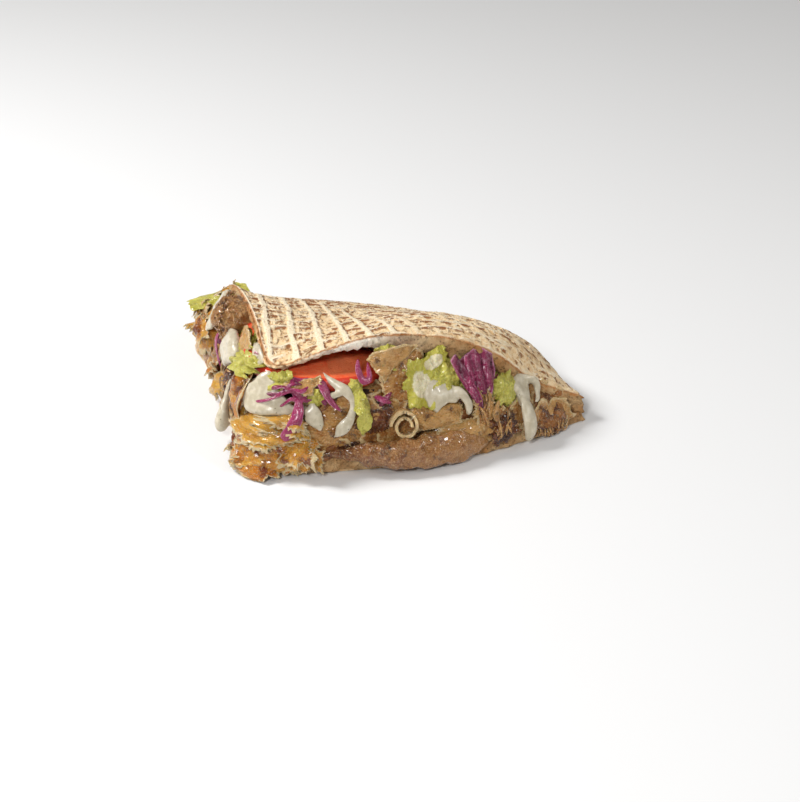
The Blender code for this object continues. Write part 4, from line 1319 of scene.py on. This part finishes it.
frill = strand(
    -0.262, 32.5,
    (
        (0, 12, 5, 5, 1.4, 20), (-1.5, 5, 7, 8, 1.6, -30), (1, -2, 7.5, 8.5, 1.6, 35),
        (0, -8, 7, 6.5, 1.6, -20), (-1, -13, 6, 3, 1.4, 0),
    ),
    around=24, steps=60, seed=11.0, wobble=1.1,
)
put("leaf_frill", frill, lettuce_look, "lettuce_frill")

# %% [markdown]
# ## Red cabbage
# Shredded cabbage is thin strips of several layered leaves, dark on the faces and pale at the cut.

# %% Red cabbage
STRIPS = {  # node: (cut, rise, strips of (along, up, out, width, thickness, twist))
    "red_cabbage_strip": (
        -0.075, 34.0,
        ((
            (-3, 11, 6, 2.6, 1.2, 10), (0, 5, 9, 4.2, 1.6, 30), (-1, -2, 10.5, 5, 1.6, -20),
            (-4, -9, 11, 5, 1.6, 10), (-6, -15, 10.5, 3.6, 1.4, 0),
        ),),
    ),
    "red_cabbage_cluster": (-0.055, 41.5, (
        (
            (-11, -5, 6.5, 1.4, 1, 0), (-6, -1, 9, 2, 1.2, 50), (-1, 2.5, 8, 2.2, 1.2, -20),
            (5, 2, 9.5, 2, 1.2, 40), (9, 4, 7, 1.4, 1, 0),
        ),
        (
            (-8, 3, 6.5, 1.4, 1, 0), (-3, 4.5, 9, 2.2, 1.2, 60), (2, 1.5, 9.5, 2.2, 1.2, -30),
            (6, -2, 8.5, 2, 1.2, 20), (10, -2.5, 7, 1.4, 1, 0),
        ),
        (
            (-4, -5, 7, 1.4, 1, 0), (0, -1.5, 9.5, 2, 1.2, 40), (4, -2.5, 8.5, 2, 1.2, 0),
            (8, 0.5, 7.5, 1.4, 1, 0),
        ),
        (
            (-9, 0.5, 6, 1.4, 1, 0), (-4, 1, 8, 1.8, 1.2, -40), (1, 5.5, 8, 1.8, 1.2, 20),
            (6, 5, 6.5, 1.4, 1, 0),
        ),
    )),
    "red_cabbage_dark": (-0.155, 43.0, (
        ((-2, 7, 4, 3, 1.4, 0), (0, 1, 6.5, 5, 1.6, 25), (3, -6, 7, 4.5, 1.4, 40), (7, -10, 6, 2, 1.2, 20)),
        ((-4, 5, 3.5, 3, 1.4, 0), (-2, 0, 5.5, 5, 1.6, -10), (0, -7, 5.5, 3, 1.4, 0)),
    )),
    "red_cabbage_loop": (-0.282, 50.0, (
        (
            (-2, 6, 4, 2.5, 1.2, 0), (-3, 1, 6.5, 3.2, 1.4, 20), (-1.5, -4, 7, 3.4, 1.4, 0),
            (2, -3, 6.5, 3, 1.4, 0), (2.5, 4, 4.5, 2.5, 1.2, 0),
        ),
    )),
    "red_cabbage_bits": (-0.33, 36.0, (
        ((-4, 2, 3.5, 2, 1.2, 0), (0, 0, 5.5, 3, 1.4, 10), (4, -2, 4, 2, 1.2, 0)),
        ((-2, -3, 3.5, 2, 1.2, 0), (2, 1, 5.5, 2.6, 1.4, 10), (5, 3, 4, 2, 1.2, 0)),
    )),
    "red_cabbage_under_tomato": (-0.07, 47.5, (
        ((-9, 0, 3.5, 3, 1.4, 0), (-3, 1, 5, 4, 1.6, 10), (3, 0, 5, 4, 1.6, 0), (9, 1, 3.5, 2.5, 1.4, 0)),
    )),
    "red_cabbage_left": (0.50, 30.5, (
        (
            (13, -7, 4, 2, 1.2, 0), (5, -2, 6.5, 3.6, 1.5, 20), (-4, 1, 6.5, 3.6, 1.5, 0),
            (-13, 6, 4, 2, 1.2, 0),
        ),
        ((8, 3, 4, 2, 1.2, 0), (0, 2, 6, 3, 1.4, -20), (-9, -2, 4, 2, 1.2, 0)),
    )),
}
thin = {"around": 20, "steps": 44, "wobble": 0.45}
for k, (node, (cut, rise, strips)) in enumerate(STRIPS.items()):
    solids = [
        strand(cut, rise, line, seed=12.0 + 3 * k + n, tone=0.6 * (-1) ** n, **thin)
        for n, line in enumerate(strips)
    ]
    put("cabbage" + node[11:], together(solids), cabbage_look, node)

leaf = together([
    sheet(
        -0.625, 36.0, 0, 0, out=o, thick=1.2, cup=(-1.5, -1.0), lean=l, crumple=0.5, lump=6.0, ragged=0.04,
        tone=t, seed=n, steps=(52, 52), outline=edge, crease=0.8, pleat=(1.6, 3),
    )
    for n, o, l, t, edge in (
        (
            84.0, 5.0, (2, 0), -0.4,
            ((-6, 10), (0, 13), (8, 13), (13, 9), (13, 1), (9, -6), (5, -10), (2, -5), (-2, 3)),
        ),
        (
            85.0, 4.5, (-1, 1), 0.3,
            ((-3, 12), (3, 14), (6, 8), (5, 0), (3, -8), (0, -11), (-2, -3), (-4, 5)),
        ),
        (
            86.0, 7.0, (0, 1), -0.1,
            ((-12, 12), (-8, 14), (-4, 7), (0, -1), (3, -9), (3, -15), (0, -12), (-4, -4), (-9, 5)),
        ),
    )
])
put("cabbage_leaf", leaf, cabbage_look, "red_cabbage_leaf")

# %% [markdown]
# ## Sauce
# Each pool of sauce is a few flat puddles and hanging drips that overlap.

# %% Pools and drips
# node: (cut, rise, puddles as (out, thickness, outline), drips of (along, up, out, width, thickness))
POOLS = {
    "sauce_corner": (-0.02, 41.0, (
        (
            5.5, 4.0,
            (
                (-13, -5), (-12, 1), (-8, 4), (-6, 10), (-3, 12), (0, 10), (1, 4), (4, -1), (7, -5),
                (3, -9), (-4, -10), (-9, -9),
            ),
        ),
        (5.0, 2.4, ((0, -4), (6, -4), (12, -5), (18, -6), (19, -8), (12, -9), (4, -9), (-2, -8))),
    ), (((-10, -7, 5, 7, 3.5), (-4, -7, 6.5, 6, 4), (2, -7, 6, 4, 3)),)),
    "sauce_middle": (-0.52, 33.0, (
        (
            5.6, 3.6,
            (
                (-11, 2), (-9, 5), (-6, 9), (-2, 8), (2, 6), (7, 3), (9, -1), (6, -4), (2, -3), (-2, -5),
                (-5, -7), (-8, -4),
            ),
        ),
    ), ((
        (4, 3, 6, 5, 3.5), (9, 0, 7, 5, 3.5), (12, -5, 6.5, 4.5, 3), (12, -9, 5.5, 3.4, 3),
        (10.5, -10, 5, 2.4, 2),
    ),)),
    "sauce_left": (0.31, 42.0, (
        (
            7.0, 6.0,
            (
                (-16, 0), (-12, 6), (-4, 9), (8, 8), (16, 5), (15, -2), (6, -6), (0, -10), (-6, -8),
                (-13, -6),
            ),
        ),
    ), ()),
    "sauce_on_ball": (0.655, 38.5, (
        (9.5, 3.0, ((-9, 6), (-3, 11), (6, 9), (12, 0), (9, -8), (2, -12), (-5, -7), (-10, 0))),
    ), ()),
    "sauce_on_tomato": (0.10, 55.0, (
        (2.5, 2.0, ((-14, 1), (-9, 4), (-2, 4), (5, 2), (9, -1), (5, -4), (-1, -4), (-8, -3))),
    ), ()),
    "sauce_drop": (-0.115, 31.0, (
        (6.8, 3.0, ((0, 8), (-4, 3), (-4, -2), (-1, -5), (3, -8), (5, -4), (4, 2))),
    ), ()),
    "sauce_drape": (-0.20, 36.0, (), (
        (
            (-7, 16, 3.5, 2, 1.6), (-3, 11, 5, 5, 2), (3, 6, 6, 6, 2.2), (6, 0, 6, 3.6, 2),
            (4, -7, 6, 5, 2.2), (-1, -13, 6, 8, 2.4), (-5, -17, 5, 3, 1.6),
        ),
        ((-9, 2, 4, 2, 1.4), (-6, 4, 5.5, 3, 1.6), (-1, 5, 6, 4, 2), (3, 6, 6, 4, 2)),
    )),
    "sauce_drip_right": (-0.79, 15.0, (
        (5.2, 3.4, ((-7, 14), (0, 17), (7, 15), (5, 9), (3, 3), (-3, 4), (-4, 10))),
    ), (
        ((-1, 8, 6, 7, 4), (0, 2, 7, 7.5, 4.5), (0.5, -4, 7.5, 8, 5), (-0.5, -12, 6.5, 7, 5)),
        (
            (3, 13, 6, 6, 4), (7, 12, 6.5, 5, 3.5), (9.5, 9, 6.5, 4.5, 3.5), (9, 4.5, 6, 4, 3),
            (6, 3, 5.5, 2.6, 2.5),
        ),
    )),
    "sauce_drip_left": (0.20, 17.0, (), (
        (
            (-6, 14, 5, 5, 3), (-4, 7, 6.5, 4, 3), (-1, 1, 8, 5, 4), (2, -4, 9, 9, 7), (3, -8, 9, 12, 10),
            (3, -10, 8, 12, 8),
        ),
    )),
}
print("pools:", len(POOLS))

# %% [markdown]
# Sauce is smooth where it runs together. A voxel remesh with some smoothing makes each pool one skin,
# as surface tension does.

# %% Flowed sauce
VOXEL = 0.0005  # metres
SMOOTHINGS = 12
SMOOTHING = 0.6


def flowed(made):
    """The piece's overlapping drips remeshed into one skin and smoothed, with the result kept."""
    merge = made.modifiers.new("merge", "REMESH")
    merge.mode = "VOXEL"
    merge.voxel_size = VOXEL
    relax = made.modifiers.new("relax", "SMOOTH")
    relax.iterations = SMOOTHINGS
    relax.factor = SMOOTHING
    shape = made.evaluated_get(bpy.context.evaluated_depsgraph_get())
    kept = bpy.data.meshes.new_from_object(shape)
    made.modifiers.clear()
    made.data = kept
    kept.shade_smooth()
    if not kept.materials:
        kept.materials.append(sauce_look)


for k, (node, (cut, rise, puddles, drips)) in enumerate(POOLS.items()):
    solids = [
        sheet(
            cut, rise, 0, 0, out=out, thick=thick, cup=(-1.0, -1.0), crumple=0.5, lump=4.0, ragged=0.05,
            seed=30.0 + 2 * k + n, outline=outline,
        )
        for n, (out, thick, outline) in enumerate(puddles)
    ] + [
        strand(cut, rise, line, around=28, steps=40, seed=30.0 + 2 * k + n, wobble=0.4, blunt=0.35)
        for n, line in enumerate(drips)
    ]
    flowed(put("pool" + node[5:], together(solids), sauce_look, node))
